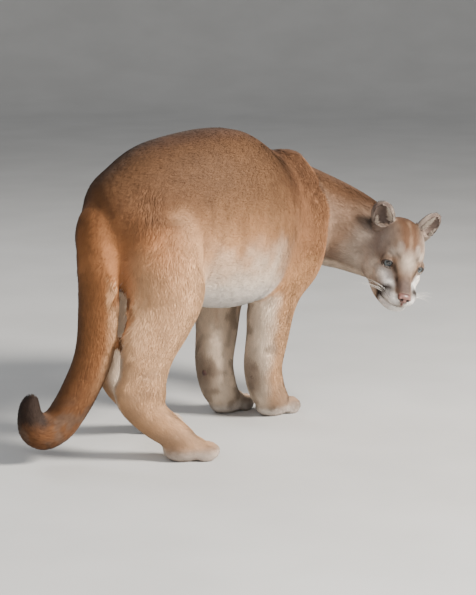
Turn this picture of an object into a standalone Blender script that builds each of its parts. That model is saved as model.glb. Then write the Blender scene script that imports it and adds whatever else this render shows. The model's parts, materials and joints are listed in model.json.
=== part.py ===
"""A life-size cougar standing with its back arched and its head turned back over its right shoulder.

Units are metres, +Z is up and the floor is z = 0. The animal's mean heading is +X, its left is +Y.
The flesh is modelled whole from lofted and rounded masses, fused, and parted with thin cuts.
All sizes run out to the tips of the coat.
"""

import math

import bmesh
import bpy
from mathutils import Matrix, Vector

# Fineness of the solids, of the fused flesh, how many triangles it keeps, and the gap between neighbours
SIDES, STEPS, RINGS = 24, 5, 12
EAR_SIDES, EAR_STEPS = 14, 3
BODY_VOXEL = 0.0048
HEAD_VOXEL = 0.0030
BODY_TRIANGLES = 5800
HEAD_TRIANGLES = 4400
GAP = 0.0003
FAR = 1.2

# Where the pelvis faces and stands, for the cuts that part the limbs
PELVIS_HEADING = math.radians(-25)
PELVIS = Vector((0.008, 0.020, 0.0))

# Cuts through the neck: a point, the direction towards the head, and how wide the cut reaches
NECK_HEAD = ((0.818, -0.190, 0.392), (0.0, -0.90, -0.43), 0.17)
NECK_ROOT = ((0.755, -0.065, 0.455), (0.88, -0.42, -0.20), 0.30)

# Size of the standing animal over the coat
RUMP_HEIGHT = 0.706
TRUNK_HALF_WIDTH = 0.122
EYE_RADIUS = 0.0145
EYE_SPACING = 0.0735
EAR_HEIGHT = 0.059

# How the head is turned back, nodded and tilted
HEAD_HEADING = math.radians(-134.5)
HEAD_NOD = math.radians(20.5)
HEAD_TILT = math.radians(-15.5)
HEAD_PLACE = Vector((0.758, -0.306, 0.3555))

UP = (0, 0, 1)
AHEAD = (1, 0, 0)

# Tubes of flesh. A row is x, y, z, then its radii along, against and across a reference direction
TRUNK = [
    (0.000, 0.018, 0.460, RUMP_HEIGHT - 0.634, 0.070, 0.050),
    (0.032, 0.004, 0.470, RUMP_HEIGHT - 0.584, 0.120, 0.084),
    (0.076, -0.018, 0.485, RUMP_HEIGHT - 0.550, 0.160, 0.106),
    (0.130, -0.040, 0.495, RUMP_HEIGHT - 0.520, 0.182, TRUNK_HALF_WIDTH * 0.95),
    (0.200, -0.068, 0.500, RUMP_HEIGHT - 0.506, 0.186, TRUNK_HALF_WIDTH * 0.98),
    (0.280, -0.086, 0.500, RUMP_HEIGHT - 0.500, 0.200, TRUNK_HALF_WIDTH),
    (0.360, -0.088, 0.495, RUMP_HEIGHT - 0.506, 0.205, TRUNK_HALF_WIDTH),
    (0.440, -0.078, 0.485, RUMP_HEIGHT - 0.524, 0.198, TRUNK_HALF_WIDTH * 0.96),
    (0.520, -0.058, 0.475, RUMP_HEIGHT - 0.539, 0.186, TRUNK_HALF_WIDTH * 0.87),
    (0.600, -0.038, 0.465, RUMP_HEIGHT - 0.542, 0.168, TRUNK_HALF_WIDTH * 0.76),
    (0.680, -0.030, 0.460, RUMP_HEIGHT - 0.560, 0.146, TRUNK_HALF_WIDTH * 0.65),
    (0.735, -0.034, 0.455, 0.085, 0.108, TRUNK_HALF_WIDTH * 0.52),
]
NECK = [
    (0.600, -0.030, 0.485, 0.125, 0.150, 0.090),
    (0.690, -0.034, 0.475, 0.120, 0.140, 0.096),
    (0.762, -0.070, 0.452, 0.106, 0.122, 0.094),
    (0.805, -0.130, 0.422, 0.094, 0.106, 0.086),
    (0.818, -0.190, 0.392, 0.080, 0.092, 0.078),
    (0.806, -0.236, 0.372, 0.062, 0.078, 0.066),
]
TAIL = [
    (0.060, -0.010, 0.555, 0.045, 0.040, 0.045),
    (0.008, 0.002, 0.520, 0.048, 0.046, 0.050),
    (-0.010, -0.004, 0.465, 0.046, 0.046, 0.050),
    (-0.018, -0.012, 0.405, 0.045, 0.045, 0.048),
    (-0.013, -0.006, 0.340, 0.045, 0.045, 0.046),
    (-0.014, 0.000, 0.263, 0.044, 0.044, 0.045),
    (-0.026, 0.007, 0.209, 0.043, 0.043, 0.043),
    (-0.045, 0.018, 0.163, 0.042, 0.042, 0.042),
    (-0.065, 0.029, 0.125, 0.041, 0.041, 0.041),
    (-0.090, 0.045, 0.087, 0.040, 0.040, 0.040),
    (-0.120, 0.062, 0.070, 0.037, 0.037, 0.038),
    (-0.144, 0.072, 0.084, 0.033, 0.033, 0.034),
    (-0.150, 0.075, 0.120, 0.027, 0.027, 0.029),
    (-0.149, 0.072, 0.143, 0.020, 0.020, 0.022),
]

# The head, in its own frame: eyes' midpoint at the origin, x to the nose, y left, z up
SKULL = [
    (-0.126, 0, 0.004, 0.040, 0.045, 0.042),
    (-0.100, 0, 0.010, 0.066, 0.072, 0.060),
    (-0.070, 0, 0.006, 0.079, 0.080, 0.064),
    (-0.038, 0, -0.006, 0.073, 0.072, 0.060),
    (-0.012, 0, -0.022, 0.061, 0.059, 0.049),
    (0.008, 0, -0.040, 0.050, 0.046, 0.038),
]
MUZZLE = [
    (-0.030, 0, -0.046, 0.040, 0.042, 0.058),
    (0.005, 0, -0.050, 0.034, 0.040, 0.051),
    (0.032, 0, -0.054, 0.032, 0.038, 0.043),
    (0.056, 0, -0.057, 0.029, 0.026, 0.034),
    (0.073, 0, -0.057, 0.023, 0.017, 0.026),
]
JAW = [
    (-0.040, 0, -0.074, 0.026, 0.030, 0.050),
    (-0.005, 0, -0.082, 0.020, 0.024, 0.045),
    (0.022, 0, -0.085, 0.016, 0.019, 0.038),
    (0.044, 0, -0.086, 0.013, 0.015, 0.030),
    (0.058, 0, -0.084, 0.009, 0.010, 0.020),
]
BRIDGE = [
    (-0.050, 0, 0.036, 0.022, 0.030, 0.032),
    (-0.015, 0, 0.014, 0.022, 0.030, 0.025),
    (0.015, 0, -0.006, 0.020, 0.030, 0.0215),
    (0.045, 0, -0.025, 0.017, 0.024, 0.019),
    (0.074, 0, -0.040, 0.013, 0.014, 0.017),
]

# The limbs' joints and the way each foot points, in degrees from the animal's heading
HIND = {
    "right": ((0.062, -0.085, 0.495), (0.134, -0.138, 0.345), (0.012, -0.095, 0.165), (0.102, -0.170, 0.028), -35),
    "left": ((0.132, 0.038, 0.490), (0.262, 0.072, 0.360), (0.150, 0.066, 0.170), (0.282, 0.055, 0.028), -5),
}
FORE = {
    "right": ((0.628, -0.070, 0.620), (0.660, -0.104, 0.420), (0.538, -0.090, 0.300), (0.514, -0.072, 0.100),
              (0.590, -0.068, 0.025), 0),
    "left": ((0.610, 0.006, 0.614), (0.650, 0.044, 0.420), (0.528, 0.056, 0.300), (0.480, 0.042, 0.100),
             (0.545, 0.043, 0.025), 0),
}
PAWS = {
    "hind_right": ((0.102, -0.170, 0.021), -35),
    "hind_left": ((0.282, 0.055, 0.021), -5),
    "fore_right": ((0.588, -0.066, 0.021), -5),
    "fore_left": ((0.550, 0.042, 0.021), -5),
}


def spline(points, steps):
    """Catmull-Rom samples through rows of numbers, `steps` for each span, ends included."""
    rows = [Vector(p) for p in points]
    rows = [2 * rows[0] - rows[1]] + rows + [2 * rows[-1] - rows[-2]]
    samples = []
    for i in range(1, len(rows) - 2):
        a, b, c, d = rows[i - 1 : i + 3]
        for k in range(steps):
            t = k / steps
            bend = (2 * a - 5 * b + 4 * c - d) * t**2 + (3 * b - a - 3 * c + d) * t**3
            samples.append(0.5 * (2 * b + (c - a) * t + bend))
    samples.append(rows[-2])
    return samples


def end_rings(centre, radii, tangent, share):
    """Rings that round off a tube's end by a share of its smallest radius."""
    count = 4
    rings = []
    for k in range(1, count + 1):
        angle = math.pi / 2 * k / (count + 0.35)
        shift = tangent * min(radii) * share * math.sin(angle)
        rings.append((centre + shift, tuple(r * math.cos(angle) for r in radii), tangent))
    return rings


def loft(stations, reference, sides=SIDES, steps=STEPS, round_start=0.6, round_end=0.6):
    """A closed tube. A station is (x, y, z, toward, away, across): its centre, its radii along and
    against the reference direction, and its radius across it."""
    rows = spline(stations, steps)
    centres = [Vector(r[:3]) for r in rows]
    last = len(centres) - 1
    body = []
    for i, row in enumerate(rows):
        tangent = (centres[min(i + 1, last)] - centres[max(i - 1, 0)]).normalized()
        body.append((centres[i], tuple(row[3:]), tangent))
    first, final = body[0], body[-1]
    head = [(c, r, -t) for c, r, t in end_rings(first[0], first[1], -first[2], round_start)]
    whole = head[::-1] + body + end_rings(*final, round_end)
    bm = bmesh.new()
    loops = []
    for centre, (toward, away, across), tangent in whole:
        axis = Vector(reference)
        axis = (axis - tangent * axis.dot(tangent)).normalized()
        side = tangent.cross(axis)
        loop = []
        for k in range(sides):
            angle = 2 * math.pi * k / sides
            reach = toward if math.cos(angle) > 0 else away
            offset = axis * math.cos(angle) * reach + side * math.sin(angle) * across
            loop.append(bm.verts.new(centre + offset))
        loops.append(loop)
    for one, two in zip(loops, loops[1:]):
        for k in range(sides):
            n = (k + 1) % sides
            bm.faces.new((one[k], one[n], two[n], two[k]))
    bm.faces.new(loops[0][::-1])
    bm.faces.new(loops[-1])
    bmesh.ops.recalc_face_normals(bm, faces=bm.faces)
    return bm


def ball(centre, radii, turn=None, segments=SIDES, rings=RINGS):
    """An ellipsoid with the given radii, turned by a rotation matrix about its centre."""
    bm = bmesh.new()
    bmesh.ops.create_uvsphere(bm, u_segments=segments, v_segments=rings, radius=1)
    rotation = (turn or Matrix.Identity(3)).to_4x4()
    matrix = Matrix.Translation(centre) @ rotation @ Matrix.Diagonal((*radii, 1))
    bmesh.ops.transform(bm, matrix=matrix, verts=bm.verts)
    return bm


def moved(meshes, matrix):
    for bm in meshes:
        bmesh.ops.transform(bm, matrix=matrix, verts=bm.verts)
    return meshes


def ahead_of(degrees):
    heading = math.radians(degrees)
    return Vector((math.cos(heading), math.sin(heading), 0))


def hind_stations(hip, knee, ankle, foot, degrees):
    """Thigh and shank in one tube, and the long foot from the heel to the ball."""
    hip, knee, ankle, foot = (Vector(v) for v in (hip, knee, ankle, foot))
    ahead = ahead_of(degrees)
    lift = Vector(UP)
    shank = [
        (*(hip + lift * 0.060), 0.070, 0.060, 0.034),
        (*(hip + lift * 0.010), 0.110, 0.072, 0.060),
        (*(hip.lerp(knee, 0.5) - ahead * 0.012), 0.098, 0.092, 0.068),
        (*(hip.lerp(knee, 0.9) - ahead * 0.022), 0.070, 0.112, 0.060),
        (*(knee.lerp(ankle, 0.25) - ahead * 0.012), 0.050, 0.104, 0.048),
        (*(knee.lerp(ankle, 0.62) - ahead * 0.006), 0.043, 0.082, 0.041),
        (*(knee.lerp(ankle, 0.92) + ahead * 0.006), 0.048, 0.062, 0.037),
        (*(ankle + ahead * 0.014 - lift * 0.022), 0.050, 0.050, 0.034),
    ]
    heel = ankle - ahead * 0.036 - lift * 0.012
    pastern = [
        (*(heel + lift * 0.020), 0.024, 0.026, 0.026),
        (*heel.lerp(foot, 0.15), 0.042, 0.038, 0.032),
        (*heel.lerp(foot, 0.5), 0.038, 0.043, 0.033),
        (*heel.lerp(foot, 0.88), 0.031, 0.032, 0.037),
    ]
    return shank, pastern, ahead


def fore_stations(blade, shoulder, elbow, wrist, foot, degrees):
    """Shoulder blade, upper arm, forearm and wrist in one tube, and the middle of the upper arm."""
    blade, shoulder, elbow, wrist, foot = (Vector(v) for v in (blade, shoulder, elbow, wrist, foot))
    ahead = ahead_of(degrees)
    arm = [
        (*blade, 0.038, 0.074, 0.028),
        (*blade.lerp(shoulder, 0.30), 0.062, 0.085, 0.046),
        (*blade.lerp(shoulder, 0.70), 0.076, 0.095, 0.058),
        (*shoulder.lerp(elbow, 0.35), 0.076, 0.094, 0.062),
        (*shoulder.lerp(elbow, 0.8), 0.066, 0.076, 0.058),
        (*elbow.lerp(wrist, 0.15), 0.056, 0.070, 0.055),
        (*elbow.lerp(wrist, 0.5), 0.048, 0.058, 0.050),
        (*elbow.lerp(wrist, 0.86), 0.042, 0.052, 0.046),
        (*wrist.lerp(foot, 0.35), 0.036, 0.052, 0.044),
        (*wrist.lerp(foot, 0.80), 0.026, 0.046, 0.038),
    ]
    upper = shoulder.lerp(elbow, 0.62) - ahead * 0.028 + Vector(UP) * 0.030
    return arm, upper, ahead


def limbs():
    """The masses of the four legs, by limb."""
    masses = {}
    for side, joints in HIND.items():
        shank, pastern, ahead = hind_stations(*joints)
        masses["hind_" + side] = [loft(shank, ahead), loft(pastern, ahead + Vector(UP) * 0.6)]
    for side, joints in FORE.items():
        arm, upper, ahead = fore_stations(*joints)
        masses["fore_" + side] = [loft(arm, ahead), ball(upper, (0.088, 0.056, 0.082))]
    for limb, (at, degrees) in PAWS.items():
        masses[limb] += paw(at, math.radians(degrees))
    return masses


def paw(foot, heading):
    """A foot with four toes, the outer two set back. It dips under the floor, where it is cut flat."""
    centre = Vector(foot)
    turn = Matrix.Rotation(heading, 3, "Z")
    lumps = [ball(centre + turn @ Vector((-0.016, 0, 0.005)), (0.052, 0.038, 0.032), turn)]
    for place in (-1.5, -0.5, 0.5, 1.5):
        reach = 0.038 if abs(place) < 1 else 0.023
        toe = centre + turn @ Vector((reach, place * 0.0205, -0.004))
        lumps.append(ball(toe, (0.026, 0.0125, 0.021), turn, 14, 10))
    return lumps


def head_matrix():
    """From the head's own frame to the animal's."""
    heading = Matrix.Rotation(HEAD_HEADING, 4, "Z")
    nod = Matrix.Rotation(HEAD_NOD, 4, "Y")
    tilt = Matrix.Rotation(HEAD_TILT, 4, "X")
    return Matrix.Translation(HEAD_PLACE) @ heading @ nod @ tilt


def eye_centre(side):
    return Vector((-0.0035, side * EYE_SPACING / 2, 0.0))


def head_masses():
    masses = [
        loft(SKULL, UP),
        loft(MUZZLE, UP),
        loft(BRIDGE, UP),
        loft(JAW, UP),
        ball((-0.045, 0, -0.068), (0.060, 0.048, 0.032)),
    ]
    for s in (-1, 1):
        masses += [
            ball((-0.060, 0.036 * s, -0.036), (0.050, 0.036, 0.050)),
            ball((-0.016, 0.037 * s, -0.032), (0.034, 0.021, 0.024)),
            ball((-0.022, 0.029 * s, 0.018), (0.026, 0.020, 0.014)),
            ball((0.030, 0.0265 * s, -0.056), (0.036, 0.0205, 0.0215)),
            ball((0.053, 0.0175 * s, -0.055), (0.027, 0.0195, 0.0185)),
            ball(eye_centre(s), (0.0182, 0.0185, 0.0180)),
        ]
    return masses


def lid_opening(side):
    """An almond that looks ahead and a little outwards, its inner corner lower."""
    out = Matrix.Rotation(side * math.radians(20), 3, "Z")
    slant = Matrix.Rotation(side * math.radians(-14), 3, "X")
    centre = eye_centre(side) + out @ Vector((0.0175, 0, -0.0005))
    return ball(centre, (0.0140, 0.0132, 0.0092), out @ slant)


def mouth_line(side):
    """A flat groove from the front of the lips back along one cheek."""
    stations = [
        (0.080, side * -0.004, -0.0710, 0.0011, 0.0011, 0.006),
        (0.075, side * 0.014, -0.0725, 0.0011, 0.0011, 0.007),
        (0.056, side * 0.031, -0.0735, 0.0011, 0.0011, 0.008),
        (0.030, side * 0.041, -0.0730, 0.0011, 0.0011, 0.009),
        (0.006, side * 0.048, -0.0670, 0.0009, 0.0009, 0.007),
    ]
    return loft(stations, UP, sides=12, steps=4)


def nose_pad(grow):
    radii = (0.0105 + grow, 0.0165 + grow, 0.0110 + grow)
    return ball((0.0795, 0, -0.0430), radii, None, 14, 8)


def nostril(side):
    turn = Matrix.Rotation(side * math.radians(35), 3, "Z")
    return ball((0.0890, side * 0.0075, -0.0435), (0.0050, 0.0032, 0.0032), turn, 12, 8)


def ear_frame(side, matrix):
    """The ear's own frame: x out of the cup, y across it, z from root to tip."""
    place = Matrix.Translation((-0.080, side * 0.049, 0.055))
    turn = Matrix.Rotation(side * math.radians(14), 4, "Z")
    lean = Matrix.Rotation(side * math.radians(-28), 4, "X")
    return matrix @ place @ lean @ turn


def ear_shell(grow):
    h = EAR_HEIGHT
    stations = [
        (-0.003, 0, -0.014, 0.014, 0.012, 0.026),
        (-0.004, 0, h * 0.20, 0.017, 0.013, 0.029),
        (-0.006, 0, h * 0.50, 0.015, 0.011, 0.0285),
        (-0.008, 0, h * 0.76, 0.011, 0.008, 0.024),
        (-0.009, 0, h * 0.93, 0.006, 0.005, 0.015),
    ]
    grown = [(*s[:3], s[3] + grow, s[4] + grow, s[5] + grow) for s in stations]
    grown[0] = (*grown[0][:2], grown[0][2] - grow, *grown[0][3:])
    return loft(grown, AHEAD, sides=EAR_SIDES, steps=EAR_STEPS, round_end=0.9)


def ear_cup():
    h = EAR_HEIGHT
    return loft([
        (0.018, 0, h * 0.12, 0.008, 0.010, 0.014),
        (0.014, 0, h * 0.27, 0.012, 0.020, 0.0225),
        (0.011, 0, h * 0.50, 0.012, 0.018, 0.0230),
        (0.008, 0, h * 0.75, 0.010, 0.012, 0.018),
        (0.006, 0, h * 0.90, 0.006, 0.008, 0.010),
    ], AHEAD, sides=EAR_SIDES, steps=EAR_STEPS)


def flesh_masses(matrix):
    masses = [loft(TRUNK, UP), loft(NECK, UP), loft(TAIL, AHEAD, round_end=0.8)]
    for limb in limbs().values():
        masses += limb
    return masses + moved(head_masses(), matrix)


def clear_scene():
    for obj in list(bpy.data.objects):
        bpy.data.objects.remove(obj, do_unlink=True)


def object_of(name, meshes):
    """One object from several bmeshes, which are freed."""
    whole = bpy.data.meshes.new(name)
    joined = bmesh.new()
    for bm in meshes:
        piece = bpy.data.meshes.new("piece")
        bm.to_mesh(piece)
        bm.free()
        joined.from_mesh(piece)
        bpy.data.meshes.remove(piece)
    joined.to_mesh(whole)
    joined.free()
    obj = bpy.data.objects.new(name, whole)
    bpy.context.scene.collection.objects.link(obj)
    return obj


def bake_modifiers(obj):
    """Replaces the object's mesh by the one that its modifiers make."""
    graph = bpy.context.evaluated_depsgraph_get()
    mesh = bpy.data.meshes.new_from_object(obj.evaluated_get(graph))
    obj.modifiers.clear()
    obj.data = mesh
    return obj


def fuse(obj, voxel, smoothing, triangles):
    """Turns overlapping closed masses into one surface, eases its creases and thins it."""
    remesh = obj.modifiers.new("Fuse", "REMESH")
    remesh.mode = "VOXEL"
    remesh.voxel_size = voxel
    smooth = obj.modifiers.new("Ease", "SMOOTH")
    smooth.factor = 0.5
    smooth.iterations = smoothing
    bake_modifiers(obj)
    thin = obj.modifiers.new("Thin", "DECIMATE")
    thin.ratio = triangles / (2 * len(obj.data.polygons))
    bake_modifiers(obj)
    keep_largest(obj)


def keep_largest(obj):
    """Keeps the largest connected piece of the object's mesh."""
    bm = bmesh.new()
    bm.from_mesh(obj.data)
    left = set(bm.verts)
    pieces = []
    while left:
        stack = [left.pop()]
        piece = set(stack)
        while stack:
            for edge in stack.pop().link_edges:
                for vert in edge.verts:
                    if vert in left:
                        left.remove(vert)
                        piece.add(vert)
                        stack.append(vert)
        pieces.append(piece)
    pieces.sort(key=len)
    crumbs = [vert for piece in pieces[:-1] for vert in piece]
    bmesh.ops.delete(bm, geom=crumbs, context="VERTS")
    bm.to_mesh(obj.data)
    bm.free()


def boolean(obj, cutters, operation):
    """Applies a Boolean with closed bmeshes, joined, and keeps one body."""
    tool = object_of("tool", cutters)
    cut = obj.modifiers.new("Cut", "BOOLEAN")
    cut.operation = operation
    cut.solver = "EXACT"
    cut.use_self = len(cutters) > 1
    cut.object = tool
    bake_modifiers(obj)
    bpy.data.objects.remove(tool, do_unlink=True)
    keep_largest(obj)
    return obj


def copy_of(obj, name):
    twin = bpy.data.objects.new(name, obj.data.copy())
    bpy.context.scene.collection.objects.link(twin)
    return twin


def prism(outline, heading, base, near, far, grow):
    """A convex outline of (left, up) points, counter-clockwise seen from behind, drawn out along a
    heading from near to far of a base point. `grow` moves every face outwards."""
    ahead = Vector((math.cos(heading), math.sin(heading), 0))
    left = Vector((-math.sin(heading), math.cos(heading), 0))
    count = len(outline)
    corners = []
    for i in range(count):
        before, here, after = (Vector(outline[j % count]) for j in (i - 1, i, i + 1))
        one = (here - before).normalized()
        two = (after - here).normalized()
        out_one = Vector((one.y, -one.x))
        out_two = Vector((two.y, -two.x))
        bisector = (out_one + out_two).normalized()
        corners.append(here + bisector * grow / bisector.dot(out_one))
    bm = bmesh.new()
    rings = []
    for reach in (near - grow, far + grow):
        rings.append([bm.verts.new(base + ahead * reach + left * c.x + Vector(UP) * c.y) for c in corners])
    bm.faces.new(rings[0])
    bm.faces.new(rings[1][::-1])
    for k in range(count):
        n = (k + 1) % count
        bm.faces.new((rings[0][k], rings[0][n], rings[1][n], rings[1][k]))
    bmesh.ops.recalc_face_normals(bm, faces=bm.faces)
    return bm


def block(point, normal, reach, grow):
    """A cube of half-width `reach` whose one face passes through the point, on the side that the
    normal points to. `grow` moves that face outwards."""
    bm = bmesh.new()
    bmesh.ops.create_cube(bm, size=2 * reach)
    normal = Vector(normal).normalized()
    turn = normal.to_track_quat("Z", "Y").to_matrix().to_4x4()
    centre = Vector(point) + normal * (reach - grow)
    bmesh.ops.transform(bm, matrix=Matrix.Translation(centre) @ turn, verts=bm.verts)
    return bm


def part_off(body, name, shape, *sizes):
    """Cuts the part of the body that lies in the shape into a node of its own, a gap away from the rest."""
    node = copy_of(body, name)
    boolean(node, [shape(*sizes, 0.0)], "INTERSECT")
    boolean(body, [shape(*sizes, GAP)], "DIFFERENCE")
    return node


def material(name, colour, roughness):
    made = bpy.data.materials.new(name)
    made.use_nodes = True
    shader = made.node_tree.nodes["Principled BSDF"]
    shader.inputs["Base Color"].default_value = (*colour, 1.0)
    shader.inputs["Roughness"].default_value = roughness
    shader.inputs["Metallic"].default_value = 0.0
    made.diffuse_color = (*colour, 1.0)
    return made


def head_details(head, matrix):
    """Lids, sockets, lips and the seat of the nose pad, cut into the head."""
    boolean(head, moved([nose_pad(GAP)], matrix), "DIFFERENCE")
    socket = (EYE_RADIUS + GAP,) * 3
    for side in (-1, 1):
        for cutter in (lid_opening(side), ball(eye_centre(side), socket), mouth_line(side)):
            boolean(head, moved([cutter], matrix), "DIFFERENCE")


def ear(name, side, matrix, head):
    """A cupped ear whose root sits in a seat cut into the head."""
    frame = ear_frame(side, matrix)
    boolean(head, moved([ear_shell(GAP)], frame), "DIFFERENCE")
    node = object_of(name, moved([ear_shell(0.0)], frame))
    return boolean(node, moved([ear_cup()], frame), "DIFFERENCE")


def part_legs(body):
    """Each leg leaves the trunk by a wedge that slopes up and outwards, and is cut twice by level planes."""
    right = [(0, -0.05), (0, 0.31), (-0.19, 0.49), (-0.40, 0.49), (-0.40, -0.05)]
    left = [(-x, y) for x, y in right[::-1]]
    nodes = []
    chest = Vector((0.60, -0.022, 0))
    for name, outline, heading, base, near, far, levels in (
        ("hind_right", right, PELVIS_HEADING, PELVIS, -0.3, 0.29, (0.30, 0.185)),
        ("hind_left", left, PELVIS_HEADING, PELVIS, -0.3, 0.31, (0.30, 0.185)),
        ("fore_right", right, 0.0, chest, -0.19, 0.30, (0.285, 0.085)),
        ("fore_left", left, 0.0, chest, -0.19, 0.30, (0.285, 0.085)),
    ):
        leg = part_off(body, name + "_upper", prism, outline, heading, base, near, far)
        rest = part_off(leg, name + "_lower", block, (0.3, 0, levels[0]), (0, 0, -1), FAR)
        foot = part_off(rest, name + "_foot", block, (0.3, 0, levels[1]), (0, 0, -1), FAR)
        nodes += [leg, rest, foot]
    return nodes


def part_tail(body):
    outline = [(-0.092, 0.49), (-0.092, -0.02), (0.090, -0.02), (0.060, 0.49)]
    base = part_off(body, "tail_base", prism, outline, PELVIS_HEADING, PELVIS, -0.30, 0.042)
    middle = part_off(base, "tail_middle", block, (-0.008, 0, 0.300), (-0.1, 0, -1), 0.5)
    tip = part_off(middle, "tail_tip", block, (-0.085, 0.042, 0.094), (-0.78, 0.42, -0.45), 0.5)
    return [base, middle, tip]


def finish(nodes, colours):
    """Gives each node its material and moves all of them over the origin."""
    for obj in nodes:
        colour, roughness = next(row[1:] for row in colours if obj.name.startswith(row[0]))
        obj.data.materials.clear()
        obj.data.materials.append(material(obj.name, colour, roughness))
    points = [vert.co for obj in nodes for vert in obj.data.vertices]
    low = Vector([min(p[i] for p in points) for i in range(3)])
    high = Vector([max(p[i] for p in points) for i in range(3)])
    shift = Vector((-(low.x + high.x) / 2, -(low.y + high.y) / 2, -low.z))
    for obj in nodes:
        obj.data.transform(Matrix.Translation(shift))


COLOURS = (
    ("eye", (0.16, 0.19, 0.17), 0.10),
    ("nose", (0.36, 0.18, 0.14), 0.45),
    ("ear", (0.40, 0.29, 0.20), 0.80),
    ("head", (0.44, 0.30, 0.20), 0.80),
    ("tail_tip", (0.13, 0.075, 0.045), 0.85),
    ("tail", (0.42, 0.23, 0.11), 0.85),
    ("hind_right_upper", (0.47, 0.27, 0.14), 0.85),
    ("hind_left_upper", (0.47, 0.27, 0.14), 0.85),
    ("fore_right_upper", (0.47, 0.27, 0.14), 0.85),
    ("fore_left_upper", (0.47, 0.27, 0.14), 0.85),
    ("hind", (0.52, 0.33, 0.20), 0.85),
    ("fore", (0.52, 0.36, 0.24), 0.85),
    ("", (0.42, 0.24, 0.12), 0.85),
)


def build():
    clear_scene()
    matrix = head_matrix()
    body = object_of("trunk", flesh_masses(matrix))
    fuse(body, BODY_VOXEL, 10, BODY_TRIANGLES)
    boolean(body, [block((0, 0, 0), (0, 0, -1), FAR, 0.0)], "DIFFERENCE")
    nodes = part_tail(body)
    boolean(body, [block(*NECK_HEAD, GAP)], "DIFFERENCE")
    nodes.append(part_off(body, "neck", block, *NECK_ROOT))
    nodes += part_legs(body)
    nodes.append(part_off(body, "chest", block, (0.40, 0, 0.45), (1, 0, 0), FAR))
    nodes.append(body)

    head = object_of("head", [loft(NECK, UP)] + moved(head_masses(), matrix))
    fuse(head, HEAD_VOXEL, 8, HEAD_TRIANGLES)
    boolean(head, [block(*NECK_HEAD, 0.0)], "INTERSECT")
    head_details(head, matrix)
    for side, name in ((-1, "right"), (1, "left")):
        nodes.append(ear("ear_" + name, side, matrix, head))
        centre = matrix @ eye_centre(side)
        nodes.append(object_of("eye_" + name, [ball(centre, (EYE_RADIUS,) * 3, matrix.to_3x3(), 16, 10)]))
    nose = object_of("nose", moved([nose_pad(0.0)], matrix))
    for side in (-1, 1):
        boolean(nose, moved([nostril(side)], matrix), "DIFFERENCE")
    nodes += [head, nose]
    finish(nodes, COLOURS)


build()
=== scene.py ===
import json
import math

import bmesh
import bpy
import numpy as np
from mathutils import Matrix, Vector
from mathutils.bvhtree import BVHTree

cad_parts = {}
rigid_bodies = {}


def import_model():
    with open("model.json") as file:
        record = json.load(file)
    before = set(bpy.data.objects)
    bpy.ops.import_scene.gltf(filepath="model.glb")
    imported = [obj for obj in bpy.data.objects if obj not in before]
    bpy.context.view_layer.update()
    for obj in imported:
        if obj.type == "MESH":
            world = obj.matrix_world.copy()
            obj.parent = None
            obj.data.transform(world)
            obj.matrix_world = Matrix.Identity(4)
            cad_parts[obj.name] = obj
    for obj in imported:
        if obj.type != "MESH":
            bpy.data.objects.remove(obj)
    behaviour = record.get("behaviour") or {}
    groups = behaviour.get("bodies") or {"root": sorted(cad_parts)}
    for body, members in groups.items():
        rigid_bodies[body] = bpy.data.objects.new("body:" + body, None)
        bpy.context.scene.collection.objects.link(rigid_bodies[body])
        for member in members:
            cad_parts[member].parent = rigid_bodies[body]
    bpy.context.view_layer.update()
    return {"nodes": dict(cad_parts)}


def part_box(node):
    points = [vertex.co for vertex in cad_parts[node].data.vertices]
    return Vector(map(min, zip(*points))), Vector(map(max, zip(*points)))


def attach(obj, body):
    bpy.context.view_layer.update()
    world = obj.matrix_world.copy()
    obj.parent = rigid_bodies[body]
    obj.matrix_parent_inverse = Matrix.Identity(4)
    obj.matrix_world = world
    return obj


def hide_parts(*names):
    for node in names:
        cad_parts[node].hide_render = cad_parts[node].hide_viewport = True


for leftover in list(bpy.data.objects):
    bpy.data.objects.remove(leftover, do_unlink=True)
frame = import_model()
RNG = np.random.default_rng(7)

# How fine the fused masses are before they become the skin
SIDES, STEPS, RINGS = 32, 8, 20
EAR_SIDES, EAR_STEPS = 48, 8

# How far a tube's ends are rounded off, as a share of its smallest radius there
END_ROUND = 0.6

# The skin's fineness: the head is swollen by HEAD_ZOOM inside HEAD_ZONE while it is fused
SKIN_VOXEL = 0.0066
HEAD_ZOOM = 2.1
HEAD_ZONE = 0.13
HEAD_MIDDLE = (0.775, -0.285, 0.352)

# Rounds of easing: of the whole skin, the body, the shoulders, the nape and the left hip
SKIN_EASE, BODY_EASE, SHOULDER_EASE, NAPE_EASE, HIP_EASE = 4, 10, 140, 60, 60

# Tufts: how many the coat has in all, how far they stray and swirl from the lie of the fur, how high
# they stand as a share of the coat's depth, how deep their roots are and how wide they are on the map
TUFTS = 330000
TUFT_SCATTER, TUFT_SWIRL = 0.13, 0.7
TUFT_STAND = 0.62
TUFT_ROOT = 0.0012
TUFT_ON_MAP = 0.0015
EAR_HAIRS = 420

# Depth, length and width of the fur: on the ears, as a scale of the whole coat, and what the shaggy
# places and the rear edge of the thigh add
EAR_FUR = (0.0011, 0.0062, 0.0008)
COAT_SCALE = (0.8, 1.0, 0.68)
SHAGGY_FUR = (0.25, 0.7, 0.1)
EDGE_FUR = (0.3, 0.9, 1.6)

# Points whose fur is worked out at a time
BATCH = 20000

# The stage, and the camera: its place from the animal's origin, its heading, and in picture points
# its focal length, the picture's size and how far the horizon is above the middle
FLOOR_RADIUS = 8.0
FLOOR_RIM = 4.0
CAMERA_PLACE = (-3.717, -2.966, 1.17)
CAMERA_HEADING = math.radians(35)
FOCAL, PICTURE_WIDTH, PICTURE_HEIGHT, HORIZON = 2232, 476, 595, 383.5
SENSOR = 24

# Size of the standing animal over the coat
RUMP_HEIGHT = 0.706
TRUNK_HALF_WIDTH = 0.122
EYE_RADIUS = 0.0145
EYE_SPACING = 0.0735

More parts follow.
